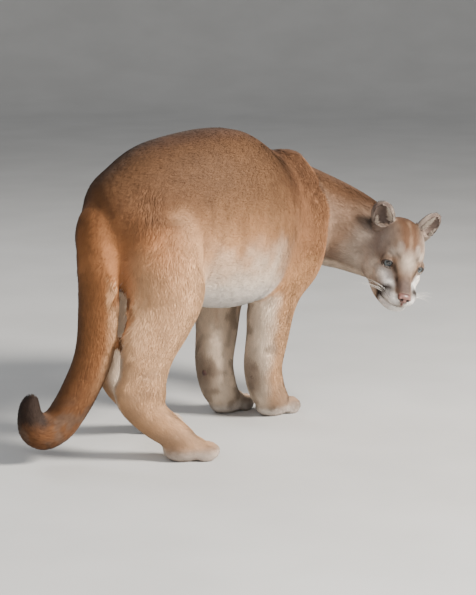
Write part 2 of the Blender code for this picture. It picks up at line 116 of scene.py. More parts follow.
# The ears: their height, their root in the head's frame, and how they lean out and turn
EAR_HEIGHT = 0.059
EAR_ROOT = (-0.080, 0.049, 0.055)
EAR_LEAN, EAR_TURN = math.radians(-28), math.radians(14)

# The eye's opening: its middle from the eye's centre, its half width and half height, how it turns
# outwards and slants, and the steps of its rim
LID_MIDDLE = (0.0175, 0, -0.0005)
LID_WIDTH, LID_HEIGHT = 0.0132, 0.0092
LID_OUT, LID_SLANT = math.radians(20), math.radians(-14)
LID_STEPS = 48

# How the head is turned back, nodded and tilted
HEAD_HEADING = math.radians(-134.5)
HEAD_NOD = math.radians(20.5)
HEAD_TILT = math.radians(-15.5)
HEAD_PLACE = Vector((0.758, -0.306, 0.3555))

UP = (0, 0, 1)
AHEAD = (1, 0, 0)

# Tubes of flesh. A row is x, y, z, then its radii along, against and across a reference direction
TRUNK = [
    (0.000, 0.018, 0.460, RUMP_HEIGHT - 0.634, 0.070, 0.050),
    (0.032, 0.004, 0.470, RUMP_HEIGHT - 0.584, 0.120, 0.084),
    (0.076, -0.018, 0.485, RUMP_HEIGHT - 0.550, 0.160, 0.106),
    (0.130, -0.040, 0.495, RUMP_HEIGHT - 0.520, 0.182, TRUNK_HALF_WIDTH * 0.95),
    (0.200, -0.068, 0.500, RUMP_HEIGHT - 0.506, 0.186, TRUNK_HALF_WIDTH * 0.98),
    (0.280, -0.086, 0.500, RUMP_HEIGHT - 0.500, 0.200, TRUNK_HALF_WIDTH),
    (0.360, -0.088, 0.495, RUMP_HEIGHT - 0.506, 0.205, TRUNK_HALF_WIDTH),
    (0.440, -0.078, 0.485, RUMP_HEIGHT - 0.524, 0.198, TRUNK_HALF_WIDTH * 0.96),
    (0.520, -0.058, 0.475, RUMP_HEIGHT - 0.539, 0.186, TRUNK_HALF_WIDTH * 0.87),
    (0.600, -0.038, 0.465, RUMP_HEIGHT - 0.542, 0.168, TRUNK_HALF_WIDTH * 0.76),
    (0.680, -0.030, 0.460, RUMP_HEIGHT - 0.560, 0.146, TRUNK_HALF_WIDTH * 0.65),
    (0.735, -0.034, 0.455, 0.085, 0.108, TRUNK_HALF_WIDTH * 0.52),
]
NECK = [
    (0.600, -0.030, 0.485, 0.125, 0.150, 0.090),
    (0.690, -0.034, 0.475, 0.120, 0.140, 0.096),
    (0.762, -0.070, 0.452, 0.106, 0.122, 0.094),
    (0.805, -0.130, 0.422, 0.094, 0.106, 0.086),
    (0.818, -0.190, 0.392, 0.080, 0.092, 0.078),
    (0.806, -0.236, 0.372, 0.062, 0.078, 0.066),
]
TAIL = [
    (0.060, -0.010, 0.555, 0.045, 0.040, 0.045),
    (0.008, 0.002, 0.520, 0.048, 0.046, 0.050),
    (-0.010, -0.004, 0.465, 0.046, 0.046, 0.050),
    (-0.018, -0.012, 0.405, 0.045, 0.045, 0.048),
    (-0.013, -0.006, 0.340, 0.045, 0.045, 0.046),
    (-0.014, 0.000, 0.263, 0.044, 0.044, 0.045),
    (-0.026, 0.007, 0.209, 0.043, 0.043, 0.043),
    (-0.045, 0.018, 0.163, 0.042, 0.042, 0.042),
    (-0.065, 0.029, 0.125, 0.041, 0.041, 0.041),
    (-0.090, 0.045, 0.087, 0.040, 0.040, 0.040),
    (-0.120, 0.062, 0.070, 0.037, 0.037, 0.038),
    (-0.144, 0.072, 0.084, 0.033, 0.033, 0.034),
    (-0.150, 0.075, 0.120, 0.027, 0.027, 0.029),
    (-0.149, 0.072, 0.143, 0.020, 0.020, 0.022),
]

# The head, in its own frame: eyes' midpoint at the origin, x to the nose, y left, z up
SKULL = [
    (-0.126, 0, 0.004, 0.040, 0.045, 0.042),
    (-0.100, 0, 0.010, 0.066, 0.072, 0.060),
    (-0.070, 0, 0.006, 0.079, 0.080, 0.064),
    (-0.038, 0, -0.006, 0.073, 0.072, 0.060),
    (-0.012, 0, -0.022, 0.061, 0.059, 0.049),
    (0.008, 0, -0.040, 0.050, 0.046, 0.038),
]
MUZZLE = [
    (-0.030, 0, -0.046, 0.040, 0.042, 0.058),
    (0.005, 0, -0.050, 0.034, 0.040, 0.051),
    (0.032, 0, -0.054, 0.032, 0.038, 0.043),
    (0.056, 0, -0.057, 0.029, 0.026, 0.034),
    (0.073, 0, -0.057, 0.023, 0.017, 0.026),
]
JAW = [
    (-0.040, 0, -0.074, 0.026, 0.030, 0.050),
    (-0.005, 0, -0.082, 0.020, 0.024, 0.045),
    (0.022, 0, -0.085, 0.016, 0.019, 0.038),
    (0.044, 0, -0.086, 0.013, 0.015, 0.030),
    (0.058, 0, -0.084, 0.009, 0.010, 0.020),
]
BRIDGE = [
    (-0.050, 0, 0.036, 0.022, 0.030, 0.032),
    (-0.015, 0, 0.014, 0.022, 0.030, 0.025),
    (0.015, 0, -0.006, 0.020, 0.030, 0.0215),
    (0.045, 0, -0.025, 0.017, 0.024, 0.019),
    (0.074, 0, -0.040, 0.013, 0.014, 0.017),
]

# How far a forefoot's wrist pad is above the wrist
WRIST_PAD_RISE = (0, 0, 0.010)

# The limbs' joints and the way each foot points, in degrees from the animal's heading
HIND = {
    "right": ((0.062, -0.085, 0.495), (0.134, -0.138, 0.345), (0.012, -0.095, 0.165),
              (0.102, -0.170, 0.028), -35),
    "left": ((0.132, 0.038, 0.490), (0.262, 0.072, 0.360), (0.150, 0.066, 0.170),
             (0.282, 0.055, 0.028), -5),
}
FORE = {
    "right": ((0.628, -0.070, 0.620), (0.660, -0.104, 0.420), (0.538, -0.090, 0.300), (0.514, -0.072, 0.100),
              (0.590, -0.068, 0.025), 0),
    "left": ((0.610, 0.006, 0.614), (0.650, 0.044, 0.420), (0.528, 0.056, 0.300), (0.480, 0.042, 0.100),
             (0.545, 0.043, 0.025), 0),
}
PAWS = {
    "hind_right": ((0.102, -0.170, 0.021), -35),
    "hind_left": ((0.282, 0.055, 0.021), -5),
    "fore_right": ((0.588, -0.066, 0.021), -5),
    "fore_left": ((0.550, 0.042, 0.021), -5),
}


def spline(points, steps):
    """Catmull-Rom samples through rows of numbers, `steps` for each span, ends included."""
    rows = [Vector(p) for p in points]
    rows = [2 * rows[0] - rows[1]] + rows + [2 * rows[-1] - rows[-2]]
    samples = []
    for i in range(1, len(rows) - 2):
        a, b, c, d = rows[i - 1 : i + 3]
        for k in range(steps):
            t = k / steps
            bend = (2 * a - 5 * b + 4 * c - d) * t**2 + (3 * b - a - 3 * c + d) * t**3
            samples.append(0.5 * (2 * b + (c - a) * t + bend))
    samples.append(rows[-2])
    return samples


def end_rings(centre, radii, tangent, share):
    """Rings that round off a tube's end by a share of its smallest radius."""
    count = 4
    rings = []
    for k in range(1, count + 1):
        angle = math.pi / 2 * k / (count + 0.35)
        shift = tangent * min(radii) * share * math.sin(angle)
        rings.append((centre + shift, tuple(r * math.cos(angle) for r in radii), tangent))
    return rings


def turns(sides):
    return [2 * math.pi * k / sides for k in range(sides)]


def shell(rings, joined=False, capped=(0, -1)):
    """Faces between rings of points, and over the capped ends. A ring of one point is a pole."""
    bm = bmesh.new()
    loops = [[bm.verts.new(p) for p in ring] for ring in rings]
    for one, two in list(zip(loops, loops[1:])) + [(loops[-1], loops[0])] * joined:
        count = max(len(one), len(two))
        for k in range(count):
            n = (k + 1) % count
            corners = (one[k % len(one)], one[n % len(one)], two[n % len(two)], two[k % len(two)])
            bm.faces.new(tuple(dict.fromkeys(corners)))
    for end in capped:
        bm.faces.new(loops[end] if end else loops[end][::-1])
    return bm


def loft(stations, reference, sides=SIDES, steps=STEPS, round_end=END_ROUND):
    """A closed tube. A station is (x, y, z, toward, away, across): its centre, its radii along and
    against the reference direction, and its radius across it."""
    rows = spline(stations, steps)
    centres = [Vector(r[:3]) for r in rows]
    last = len(centres) - 1
    body = []
    for i, row in enumerate(rows):
        tangent = (centres[min(i + 1, last)] - centres[max(i - 1, 0)]).normalized()
        body.append((centres[i], tuple(row[3:]), tangent))
    centre, radii, tangent = body[0]
    start = [(c, r, -t) for c, r, t in end_rings(centre, radii, -tangent, END_ROUND)]
    rings = []
    for centre, (toward, away, across), tangent in start[::-1] + body + end_rings(*body[-1], round_end):
        axis = Vector(reference)
        axis = (axis - tangent * axis.dot(tangent)).normalized()
        side = tangent.cross(axis)
        ring = []
        for angle in turns(sides):
            reach = toward if math.cos(angle) > 0 else away
            offset = axis * math.cos(angle) * reach + side * math.sin(angle) * across
            ring.append(centre + offset)
        rings.append(ring)
    bm = shell(rings)
    bmesh.ops.recalc_face_normals(bm, faces=bm.faces)
    return bm


def ball(centre, radii, turn=None, segments=SIDES, rings=RINGS):
    """An ellipsoid with the given radii, turned by a rotation matrix about its centre."""
    bm = bmesh.new()
    bmesh.ops.create_uvsphere(bm, u_segments=segments, v_segments=rings, radius=1)
    rotation = (turn or Matrix.Identity(3)).to_4x4()
    matrix = Matrix.Translation(centre) @ rotation @ Matrix.Diagonal((*radii, 1))
    bmesh.ops.transform(bm, matrix=matrix, verts=bm.verts)
    return bm


def moved(meshes, matrix):
    for bm in meshes:
        bmesh.ops.transform(bm, matrix=matrix, verts=bm.verts)
    return meshes


def ahead_of(degrees):
    heading = math.radians(degrees)
    return Vector((math.cos(heading), math.sin(heading), 0))


def hind_stations(hip, knee, ankle, foot, degrees):
    """Thigh and shank in one tube, and the long foot from the heel to the ball."""
    hip, knee, ankle, foot = (Vector(v) for v in (hip, knee, ankle, foot))
    ahead = ahead_of(degrees)
    lift = Vector(UP)
    shank = [
        (*(hip + lift * 0.060), 0.070, 0.060, 0.034),
        (*(hip + lift * 0.010), 0.110, 0.072, 0.060),
        (*(hip.lerp(knee, 0.5) - ahead * 0.012), 0.098, 0.092, 0.068),
        (*(hip.lerp(knee, 0.9) - ahead * 0.022), 0.070, 0.112, 0.060),
        (*(knee.lerp(ankle, 0.25) - ahead * 0.012), 0.050, 0.104, 0.048),
        (*(knee.lerp(ankle, 0.62) - ahead * 0.006), 0.043, 0.082, 0.041),
        (*(knee.lerp(ankle, 0.92) + ahead * 0.006), 0.048, 0.062, 0.037),
        (*(ankle + ahead * 0.014 - lift * 0.022), 0.050, 0.050, 0.034),
    ]
    heel = ankle - ahead * 0.036 - lift * 0.012
    pastern = [
        (*(heel + lift * 0.020), 0.024, 0.026, 0.026),
        (*heel.lerp(foot, 0.15), 0.042, 0.038, 0.032),
        (*heel.lerp(foot, 0.5), 0.038, 0.043, 0.033),
        (*heel.lerp(foot, 0.88), 0.031, 0.032, 0.037),
    ]
    return shank, pastern, ahead


def fore_stations(blade, shoulder, elbow, wrist, foot, degrees):
    """Shoulder blade, upper arm, forearm and wrist in one tube, and the middle of the upper arm."""
    blade, shoulder, elbow, wrist, foot = (Vector(v) for v in (blade, shoulder, elbow, wrist, foot))
    ahead = ahead_of(degrees)
    arm = [
        (*blade, 0.038, 0.074, 0.028),
        (*blade.lerp(shoulder, 0.30), 0.062, 0.085, 0.046),
        (*blade.lerp(shoulder, 0.70), 0.076, 0.095, 0.058),
        (*shoulder.lerp(elbow, 0.35), 0.076, 0.094, 0.062),
        (*shoulder.lerp(elbow, 0.8), 0.066, 0.076, 0.058),
        (*elbow.lerp(wrist, 0.15), 0.056, 0.070, 0.055),
        (*elbow.lerp(wrist, 0.5), 0.048, 0.058, 0.050),
        (*elbow.lerp(wrist, 0.86), 0.042, 0.052, 0.046),
        (*wrist.lerp(foot, 0.35), 0.036, 0.052, 0.044),
        (*wrist.lerp(foot, 0.80), 0.026, 0.046, 0.038),
    ]
    upper = shoulder.lerp(elbow, 0.62) - ahead * 0.028 + Vector(UP) * 0.030
    return arm, upper, ahead


def limbs():
    """The masses of the four legs, by limb."""
    masses = {}
    for side, joints in HIND.items():
        shank, pastern, ahead = hind_stations(*joints)
        masses["hind_" + side] = [loft(shank, ahead), loft(pastern, ahead + Vector(UP) * 0.6)]
    for side, joints in FORE.items():
        arm, upper, ahead = fore_stations(*joints)
        masses["fore_" + side] = [loft(arm, ahead), ball(upper, (0.088, 0.056, 0.082))]
    for limb, (at, degrees) in PAWS.items():
        masses[limb] += paw(at, math.radians(degrees))
    return masses


def paw(foot, heading):
    """A foot with four toes, the outer two set back. It dips under the floor, where it is cut flat."""
    centre = Vector(foot)
    turn = Matrix.Rotation(heading, 3, "Z")
    lumps = [ball(centre + turn @ Vector((-0.016, 0, 0.005)), (0.052, 0.038, 0.032), turn)]
    for place in (-1.5, -0.5, 0.5, 1.5):
        reach = 0.038 if abs(place) < 1 else 0.023
        toe = centre + turn @ Vector((reach, place * 0.0205, -0.004))
        lumps.append(ball(toe, (0.026, 0.0125, 0.021), turn, 14, 10))
    return lumps


def head_matrix():
    """From the head's own frame to the animal's."""
    heading = Matrix.Rotation(HEAD_HEADING, 4, "Z")
    nod = Matrix.Rotation(HEAD_NOD, 4, "Y")
    tilt = Matrix.Rotation(HEAD_TILT, 4, "X")
    return Matrix.Translation(HEAD_PLACE) @ heading @ nod @ tilt


def eye_centre(side):
    return Vector((-0.0035, side * EYE_SPACING / 2, 0.0))


def head_masses():
    masses = [
        loft(SKULL, UP),
        loft(MUZZLE, UP),
        loft(BRIDGE, UP),
        loft(JAW, UP),
        ball((-0.045, 0, -0.068), (0.060, 0.048, 0.032)),
    ]
    for s in (-1, 1):
        masses += [
            ball((-0.060, 0.036 * s, -0.036), (0.050, 0.036, 0.050)),
            ball((-0.016, 0.037 * s, -0.032), (0.034, 0.021, 0.024)),
            ball((-0.022, 0.029 * s, 0.018), (0.026, 0.020, 0.014)),
            ball((0.030, 0.0265 * s, -0.056), (0.036, 0.0205, 0.0215)),
            ball((0.053, 0.0175 * s, -0.055), (0.027, 0.0195, 0.0185)),
            ball(eye_centre(s), (0.0182, 0.0185, 0.0180)),
        ]
    return masses


def lid_frame(side):
    """The middle of an eye's opening in the head's frame, its turn outwards and its slant."""
    out = Matrix.Rotation(side * LID_OUT, 3, "Z")
    slant = Matrix.Rotation(side * LID_SLANT, 3, "X")
    return eye_centre(side) + out @ Vector(LID_MIDDLE), out, slant


def lid_opening(side):
    """An almond that looks ahead and a little outwards, its inner corner lower."""
    centre, out, slant = lid_frame(side)
    return ball(centre, (0.0140, LID_WIDTH, LID_HEIGHT), out @ slant)


def mouth_line(side):
    """A flat groove from the front of the lips back along one cheek."""
    stations = [
        (0.080, side * -0.004, -0.0710, 0.0011, 0.0011, 0.006),
        (0.075, side * 0.014, -0.0725, 0.0011, 0.0011, 0.007),
        (0.056, side * 0.031, -0.0735, 0.0011, 0.0011, 0.008),
        (0.030, side * 0.041, -0.0730, 0.0011, 0.0011, 0.009),
        (0.006, side * 0.048, -0.0670, 0.0009, 0.0009, 0.007),
    ]
    return loft(stations, UP, sides=12, steps=4)


def ear_place(side):
    return EAR_ROOT[0], side * EAR_ROOT[1], EAR_ROOT[2]


def ear_frame(side, matrix):
    """The ear's own frame: x out of the cup, y across it, z from root to tip."""
    turn = Matrix.Rotation(side * EAR_TURN, 4, "Z")
    lean = Matrix.Rotation(side * EAR_LEAN, 4, "X")
    return matrix @ Matrix.Translation(ear_place(side)) @ lean @ turn


def ear_shell():
    h = EAR_HEIGHT
    return loft([
        (-0.003, 0, -0.014, 0.014, 0.012, 0.026),
        (-0.004, 0, h * 0.20, 0.017, 0.013, 0.029),
        (-0.006, 0, h * 0.50, 0.015, 0.011, 0.0285),
        (-0.008, 0, h * 0.76, 0.011, 0.008, 0.024),
        (-0.009, 0, h * 0.93, 0.006, 0.005, 0.015),
    ], AHEAD, sides=EAR_SIDES, steps=EAR_STEPS, round_end=0.9)


def ear_cup():
    h = EAR_HEIGHT
    return loft([
        (0.018, 0, h * 0.12, 0.008, 0.010, 0.014),
        (0.014, 0, h * 0.27, 0.012, 0.020, 0.0225),
        (0.011, 0, h * 0.50, 0.012, 0.018, 0.0230),
        (0.008, 0, h * 0.75, 0.010, 0.012, 0.018),
        (0.006, 0, h * 0.90, 0.006, 0.008, 0.010),
    ], AHEAD, sides=EAR_SIDES, steps=EAR_STEPS)


def flesh_masses(matrix):
    masses = [loft(TRUNK, UP), loft(NECK, UP), loft(TAIL, AHEAD, round_end=0.8)]
    for limb in limbs().values():
        masses += limb
    return masses + moved(head_masses(), matrix)


def linked(name, data):
    """An object of this data, in the scene."""
    obj = bpy.data.objects.new(name, data)
    bpy.context.scene.collection.objects.link(obj)
    return obj


def object_of(name, meshes):
    """One object from several bmeshes, which are freed."""
    joined = bmesh.new()
    for bm in meshes:
        piece = bpy.data.meshes.new("piece")
        bm.to_mesh(piece)
        bm.free()
        joined.from_mesh(piece)
        bpy.data.meshes.remove(piece)
    whole = bpy.data.meshes.new(name)
    joined.to_mesh(whole)
    joined.free()
    return linked(name, whole)


def bake_modifiers(obj):
    """Replaces the object's mesh by the one that its modifiers make."""
    graph = bpy.context.evaluated_depsgraph_get()
    mesh = bpy.data.meshes.new_from_object(obj.evaluated_get(graph))
    obj.modifiers.clear()
    obj.data = mesh


def fuse(obj, voxel):
    """Makes one closed surface of overlapping masses."""
    remesh = obj.modifiers.new("Fuse", "REMESH")
    remesh.mode = "VOXEL"
    remesh.voxel_size = voxel
    bake_modifiers(obj)


def carve(obj, cutters):
    """Cuts these meshes out of the object."""
    tool = object_of("tool", cutters)
    cut = obj.modifiers.new("Cut", "BOOLEAN")
    cut.operation = "DIFFERENCE"
    cut.solver = "MANIFOLD"
    cut.object = tool
    bake_modifiers(obj)
    bpy.data.objects.remove(tool, do_unlink=True)


def read(items, name, width=3, kind=np.float32):
    """One property of a mesh's items, a row for each."""
    out = np.empty(len(items) * width, kind)
    items.foreach_get(name, out)
    return out.reshape(-1, width)


def positions(mesh):
    return read(mesh.vertices, "co").astype(float)


def normals_of(mesh):
    return read(mesh.vertex_normals, "vector").astype(float)


def set_positions(mesh, points):
    mesh.vertices.foreach_set("co", np.ascontiguousarray(points, np.float32).ravel())
    mesh.update()


def into(points, matrix):
    """The points moved by a matrix."""
    rows = np.array(matrix)
    return points @ rows[:3, :3].T + rows[:3, 3]


def folded(local):
    """Points of the head's frame with its right half laid over its left."""
    return np.stack([local[:, 0], np.abs(local[:, 1]), local[:, 2]], axis=1)


def unit(v):
    return v / np.maximum(np.linalg.norm(v, axis=-1, keepdims=True), 1e-9)


def smooth(low, high, x):
    t = np.clip((x - low) / (high - low), 0, 1)
    return t * t * (3 - 2 * t)


# The lie of the coat: points inside the masses, each with the way its fur lies, the size of what it
# stands for, the depth and length of its fur and the width of its tufts

def strand(group, rows, sign, depth, length, width, drift=(0, 0, 0)):
    """Samples along a tube's stations. The last four may be pairs, for its two ends."""
    centres = [Vector(r[:3]) for r in rows]
    out = []
    last = len(rows) - 1
    for i, row in enumerate(rows):
        tangent = (centres[min(i + 1, last)] - centres[max(i - 1, 0)]).normalized()
        share = i / last
        mix = [v[0] + (v[1] - v[0]) * share if isinstance(v, tuple) else v for v in (depth, length, width)]
        size = (row[3] + row[4] + 2 * row[5]) / 4
        out.append((group, centres[i], tangent * sign + Vector(drift), size, *mix))
    return out


def lie_samples(matrix):
    samples = strand("trunk", TRUNK, -1, 0.0036, (0.018, 0.016), 0.0015, (0, 0, -0.22))
    samples += strand("neck", NECK[1:], -1, (0.0036, 0.0030), (0.016, 0.011), (0.0015, 0.0012), (0, 0, -0.15))
    samples += strand("tail", TAIL[1:], 1, 0.0038, 0.015, 0.0015)
    for side, joints in HIND.items():
        shank, pastern, _ = hind_stations(*joints)
        samples += strand("hind_" + side, shank, 1, (0.0036, 0.0028), (0.016, 0.011), (0.0015, 0.0013))
        samples += strand("hind_" + side, pastern, 1, (0.0028, 0.0022), (0.010, 0.007), (0.0013, 0.0011))
    for side, joints in FORE.items():
        arm, *_ = fore_stations(*joints)
        samples += strand("fore_" + side, arm, 1, (0.0036, 0.0022), (0.015, 0.008), (0.0015, 0.0011))
    for name, (place, degrees) in PAWS.items():
        ahead = ahead_of(degrees)
        for reach, fall, *rest in (
            (0.01, 0.5, 0.036, 0.0020, 0.0070, 0.0011),
            (0.04, 0.8, 0.020, 0.0016, 0.0055, 0.0010),
        ):
            samples.append((name, Vector(place) + ahead * reach, ahead - Vector(UP) * fall, *rest))
    turn = matrix.to_3x3()
    for rows, depth, length, width in (
        (SKULL, (0.0034, 0.0018), (0.010, 0.0055), (0.0012, 0.0009)),
        (MUZZLE, (0.0022, 0.0011), (0.0060, 0.0038), (0.0009, 0.0007)),
        (BRIDGE, (0.0020, 0.0010), (0.0055, 0.0032), (0.0009, 0.0007)),
    ):
        for group, centre, way, *rest in strand("head", rows, -1, depth, length, width, (0, 0, 0.05)):
            samples.append((group, matrix @ centre, turn @ way, *rest))
    return samples


def read_lie(points, samples):
    """At each point: the name of the nearest mass, and the way, depth, length and width of the fur."""
    centres, ways, sizes, facts = (np.array(rows) for rows in (
        [s[1] for s in samples], [s[2] for s in samples], [s[3] for s in samples], [s[4:] for s in samples]))
    nearest = np.empty(len(points), int)
    way, fact = np.empty((2, len(points), 3))
    for start in range(0, len(points), BATCH):
        rows = slice(start, start + BATCH)
        gap = np.linalg.norm(points[rows, None] - centres[None], axis=2) / sizes
        nearest[rows] = gap.argmin(axis=1)
        weight = np.exp(-7.0 * np.maximum(gap - gap.min(axis=1, keepdims=True), 0))
        weight /= weight.sum(axis=1, keepdims=True)
        way[rows] = weight @ ways
        fact[rows] = weight @ facts
    return np.array([s[0] for s in samples])[nearest], way, fact


# The markings, with painted shade and highlights, from named places and colours

def linear(r, g, b):
    """A colour in linear light from sRGB steps of 255."""
    return tuple(((c / 255 + 0.055) / 1.055) ** 2.4 if c > 10 else c / 3294 for c in (r, g, b))

TAWNY = linear(160, 117, 80)
ORANGE = linear(180, 120, 76)
BRIGHT = linear(206, 162, 122)
BACK_AND_SHADE = linear(84, 57, 36)
SPINE_AND_SHADE = linear(62, 40, 27)
SHOULDER = linear(112, 74, 48)
NECK_UNDERSIDE_SHADE = linear(108, 76, 52)
CREAM = linear(226, 206, 184)
WHITE = linear(246, 242, 237)
GREY = linear(122, 110, 100)
RUST = linear(104, 72, 50)
DARK = linear(46, 36, 31)
TAN = linear(196, 154, 116)
BUFF = linear(176, 146, 118)
BROWN = linear(108, 90, 76)
TAIL_UPPER = linear(140, 90, 52)
TAIL_LOWER = linear(96, 62, 38)
FACE = linear(126, 101, 82)
EAR_BACK = linear(142, 130, 120)
EAR_INSIDE = linear(92, 76, 69)


def noise_at(points, size, seed):
    """Smooth noise from 0 to 1 over a lattice of this size."""
    q = points / size + seed * 17.31
    cell = np.floor(q).astype(np.int64)
    t = q - cell
    t = t * t * (3 - 2 * t)
    total = np.zeros(len(points))
    for corner in range(8):
        step = np.array([corner & 1, corner >> 1 & 1, corner >> 2 & 1])
        key = cell + step
        mixed = (key[:, 0] * 73856093) ^ (key[:, 1] * 19349663) ^ (key[:, 2] * 83492791)
        mixed = (mixed ^ (mixed >> 13)) * 1274126177 & 0x7FFFFFFF
        weight = np.where(step, t, 1 - t).prod(axis=1)
        total += weight * (mixed % 65536) / 65535
    return total


def spot(at, centre, radii, soft=0.5):
    """One inside an ellipsoid, falling to nothing over its soft edge."""
    gap = np.linalg.norm((at - np.array(centre)) / np.array(radii), axis=1)
    return 1 - smooth(1 - soft, 1 + soft, gap)


def band(at, knots, radius, soft=0.5):
    """One along a bent line through the knots, falling to nothing at its edge."""
    knots = np.array(knots, float)
    best = np.full(len(at), 9.0)
    for one, two in zip(knots, knots[1:]):
        along = two - one
        share = np.clip(((at - one) @ along) / (along @ along), 0, 1)
        best = np.minimum(best, np.linalg.norm(at - one - share[:, None] * along, axis=1))
    return 1 - smooth(1 - soft, 1 + soft, best / radius)


# Long pale hair: behind the thigh and under the belly
PALE_THIGH = ((0.030, -0.095, 0.440), (0.030, -0.105, 0.380), (0.028, -0.110, 0.320), (0.020, -0.105, 0.260))
THIGH_EDGE = ((0.012, -0.030, 0.470), (0.006, -0.052, 0.390), (0.006, -0.075, 0.320), (0.006, -0.080, 0.270))
# Painted highlight along the front edge of the right thigh
FOLD_HIGHLIGHT = ((0.100, -0.160, 0.530), (0.122, -0.176, 0.450), (0.150, -0.176, 0.380), (0.160, -0.160, 0.330))
BELLY = ((0.160, -0.120, 0.320), (0.300, -0.146, 0.325), (0.420, -0.140, 0.330))
# Painted shade in short creases of the rump's fur near the tail's root
SHADED_CREASES = (
    ((-0.010, 0.010, 0.600), (-0.012, -0.020, 0.560)),
    ((-0.008, -0.030, 0.590), (-0.010, -0.055, 0.545)),
    ((0.000, -0.060, 0.580), (-0.004, -0.085, 0.530)),
    ((0.015, -0.095, 0.580), (0.008, -0.115, 0.520)),
)


MOUTH = ((0.081, 0.0, -0.071), (0.075, 0.014, -0.0725), (0.056, 0.031, -0.0735), (0.030, 0.041, -0.073),
         (0.006, 0.048, -0.067))


def on_ear(ear):
    """One on the ear's own surface, in the ear's frame."""
    inside = spot(ear, (-0.004, 0, 0.036), (0.034, 0.036, 0.040), 0.1) > 0.5
    return (inside & (ear[:, 2] > 0.004)).astype(float)


class Paint:
    """Colours of points, into which others are mixed by a share at each point."""

    def __init__(self, count, first):
        self.colour = np.tile(first, (count, 1))

    def blend(self, paint, share):
        share = np.clip(share, 0, 1)[:, None]
        self.colour = self.colour * (1 - share) + np.array(paint) * share


class Places:
    """What the markings go by: where each point is, which way it faces and what it is part of."""

    def __init__(self, points, normals, group, to_head):
        self.points, self.normals, self.group = points, normals, group
        self.ragged = noise_at(points, 0.030, 1) - 0.5
        self.fine = noise_at(points, 0.009, 2) - 0.5
        x, z = points[:, 0], points[:, 2]
        self.trunk = np.isin(group, ("trunk", "neck")).astype(float)
        self.tail = (group == "tail").astype(float)
        upper = smooth(0.30, 0.40, z + 0.10 * smooth(0.45, 0.55, x))
        self.body = (1 - self.tail) * (group != "head") * upper
        self.local = into(points, to_head)
        near_head = (group == "neck") * smooth(-0.165, -0.105, self.local[:, 0])
        self.head = np.where(group == "head", 1.0, near_head)
        self.facing = normals @ np.array(to_head)[:3, :3].T


def paint_trunk(blend, at):
    """A dark back and spine, warm flanks and a pale belly, with painted shade under the neck and on the left
    side of the rump.
    """
    points, body, ragged = at.points, at.body, at.ragged
    x, z, up = points[:, 0], points[:, 2], at.normals[:, 2]
    height = z + 0.06 * ragged
    front = smooth(0.36, 0.60, x)
    blend(ORANGE, spot(points, (0.03, -0.14, 0.46), (0.13, 0.12, 0.15), 0.7) * 0.8)
    blend(BRIGHT, spot(points, (0.13, -0.18, 0.36), (0.11, 0.10, 0.13), 0.8) * 0.75)
    blend(BACK_AND_SHADE, body * smooth(0.43, 0.58, height) * 0.75)
    blend(SHOULDER, body * front * smooth(0.33, 0.42, height) * 0.72)
    # Painted shade: the neck's underside is darkened where it faces down
    blend(NECK_UNDERSIDE_SHADE, (at.group == "neck") * smooth(-1.0, -0.6, up) * 0.85)
    blend(BACK_AND_SHADE, body * smooth(0.0, 0.85, up + 0.25 * ragged) * 0.6)
    blend(SPINE_AND_SHADE, body * smooth(0.66, 1.0, up + 0.2 * ragged) * (0.85 - 0.3 * front))
    # Painted shade on the left side of the rump, which faces away from the light
    blend(SPINE_AND_SHADE, body * spot(points, (-0.020, 0.060, 0.560), (0.090, 0.060, 0.120), 0.9) * 0.75)
    lower = smooth(0.480, 0.340, height) * smooth(0.10, 0.24, x) * smooth(0.52, 0.38, x)
    blend(CREAM, at.trunk * lower * 0.85)
    blend(WHITE, at.trunk * smooth(-0.35, -0.80, up) * 0.7)


def paint_legs(blend, at):
    """Tan shanks, pale insides, and brown wrists and grey feet in front."""
    points, group, ragged, z = at.points, at.group, at.ragged, at.points[:, 2]
    legs = np.array([g[:4] in ("hind", "fore") for g in group]).astype(float)
    fore = np.array([g[:4] == "fore" for g in group]).astype(float)
    right = np.array([g.endswith("right") for g in group])
    outer = np.where(right, -at.normals[:, 1], at.normals[:, 1])
    ahead = at.normals[:, 0]
    blend(BRIGHT, legs * (1 - fore) * smooth(0.46, 0.34, z) * smooth(0.14, 0.20, z) * 0.75)
    blend(TAN, legs * smooth(0.36, 0.16, z) * 0.7)
    blend(CREAM, legs * (1 - fore) * smooth(-0.05, -0.70, outer + 0.3 * ragged) * 0.9)
    inner = smooth(0.15, 0.75, np.maximum(-ahead - 0.1, -outer) + 0.25 * ragged)
    blend(CREAM, fore * smooth(0.42, 0.33, z) * inner * 0.9)
    for *_, wrist, foot, degrees in FORE.values():
        back_of_wrist = Vector(wrist) - ahead_of(degrees) * 0.036 + Vector(WRIST_PAD_RISE)
        shifted = points + (0.006 * ragged)[:, None]
        blend(BROWN, fore * spot(shifted, back_of_wrist, (0.030, 0.032, 0.046), 0.9) * 0.8)
        blend(GREY, fore * spot(points, Vector(foot), (0.060, 0.060, 0.055), 0.9) * 0.45)
    blend(GREY, legs * smooth(0.11, 0.04, z + 0.06 * ragged) * 0.30)
    blend(WHITE, legs * smooth(0.035, 0.012, z) * 0.4)
    mottled = smooth(0.55, 0.78, noise_at(points, 0.022, 3)) * smooth(0.34, 0.26, z)
    blend(BROWN, legs * mottled * (0.22 + 0.30 * fore))
    blend(ORANGE, fore * smooth(0.15, 0.75, ahead + 0.3 * ragged) * smooth(0.08, 0.20, z) * 0.55)
    blend(BRIGHT, (1 - at.tail) * band(points, PALE_THIGH, 0.030, 0.9) * 0.6)
    # Painted highlight down the thigh's front edge
    blend(BRIGHT, band(points, FOLD_HIGHLIGHT, 0.024, 0.95) * 0.3)


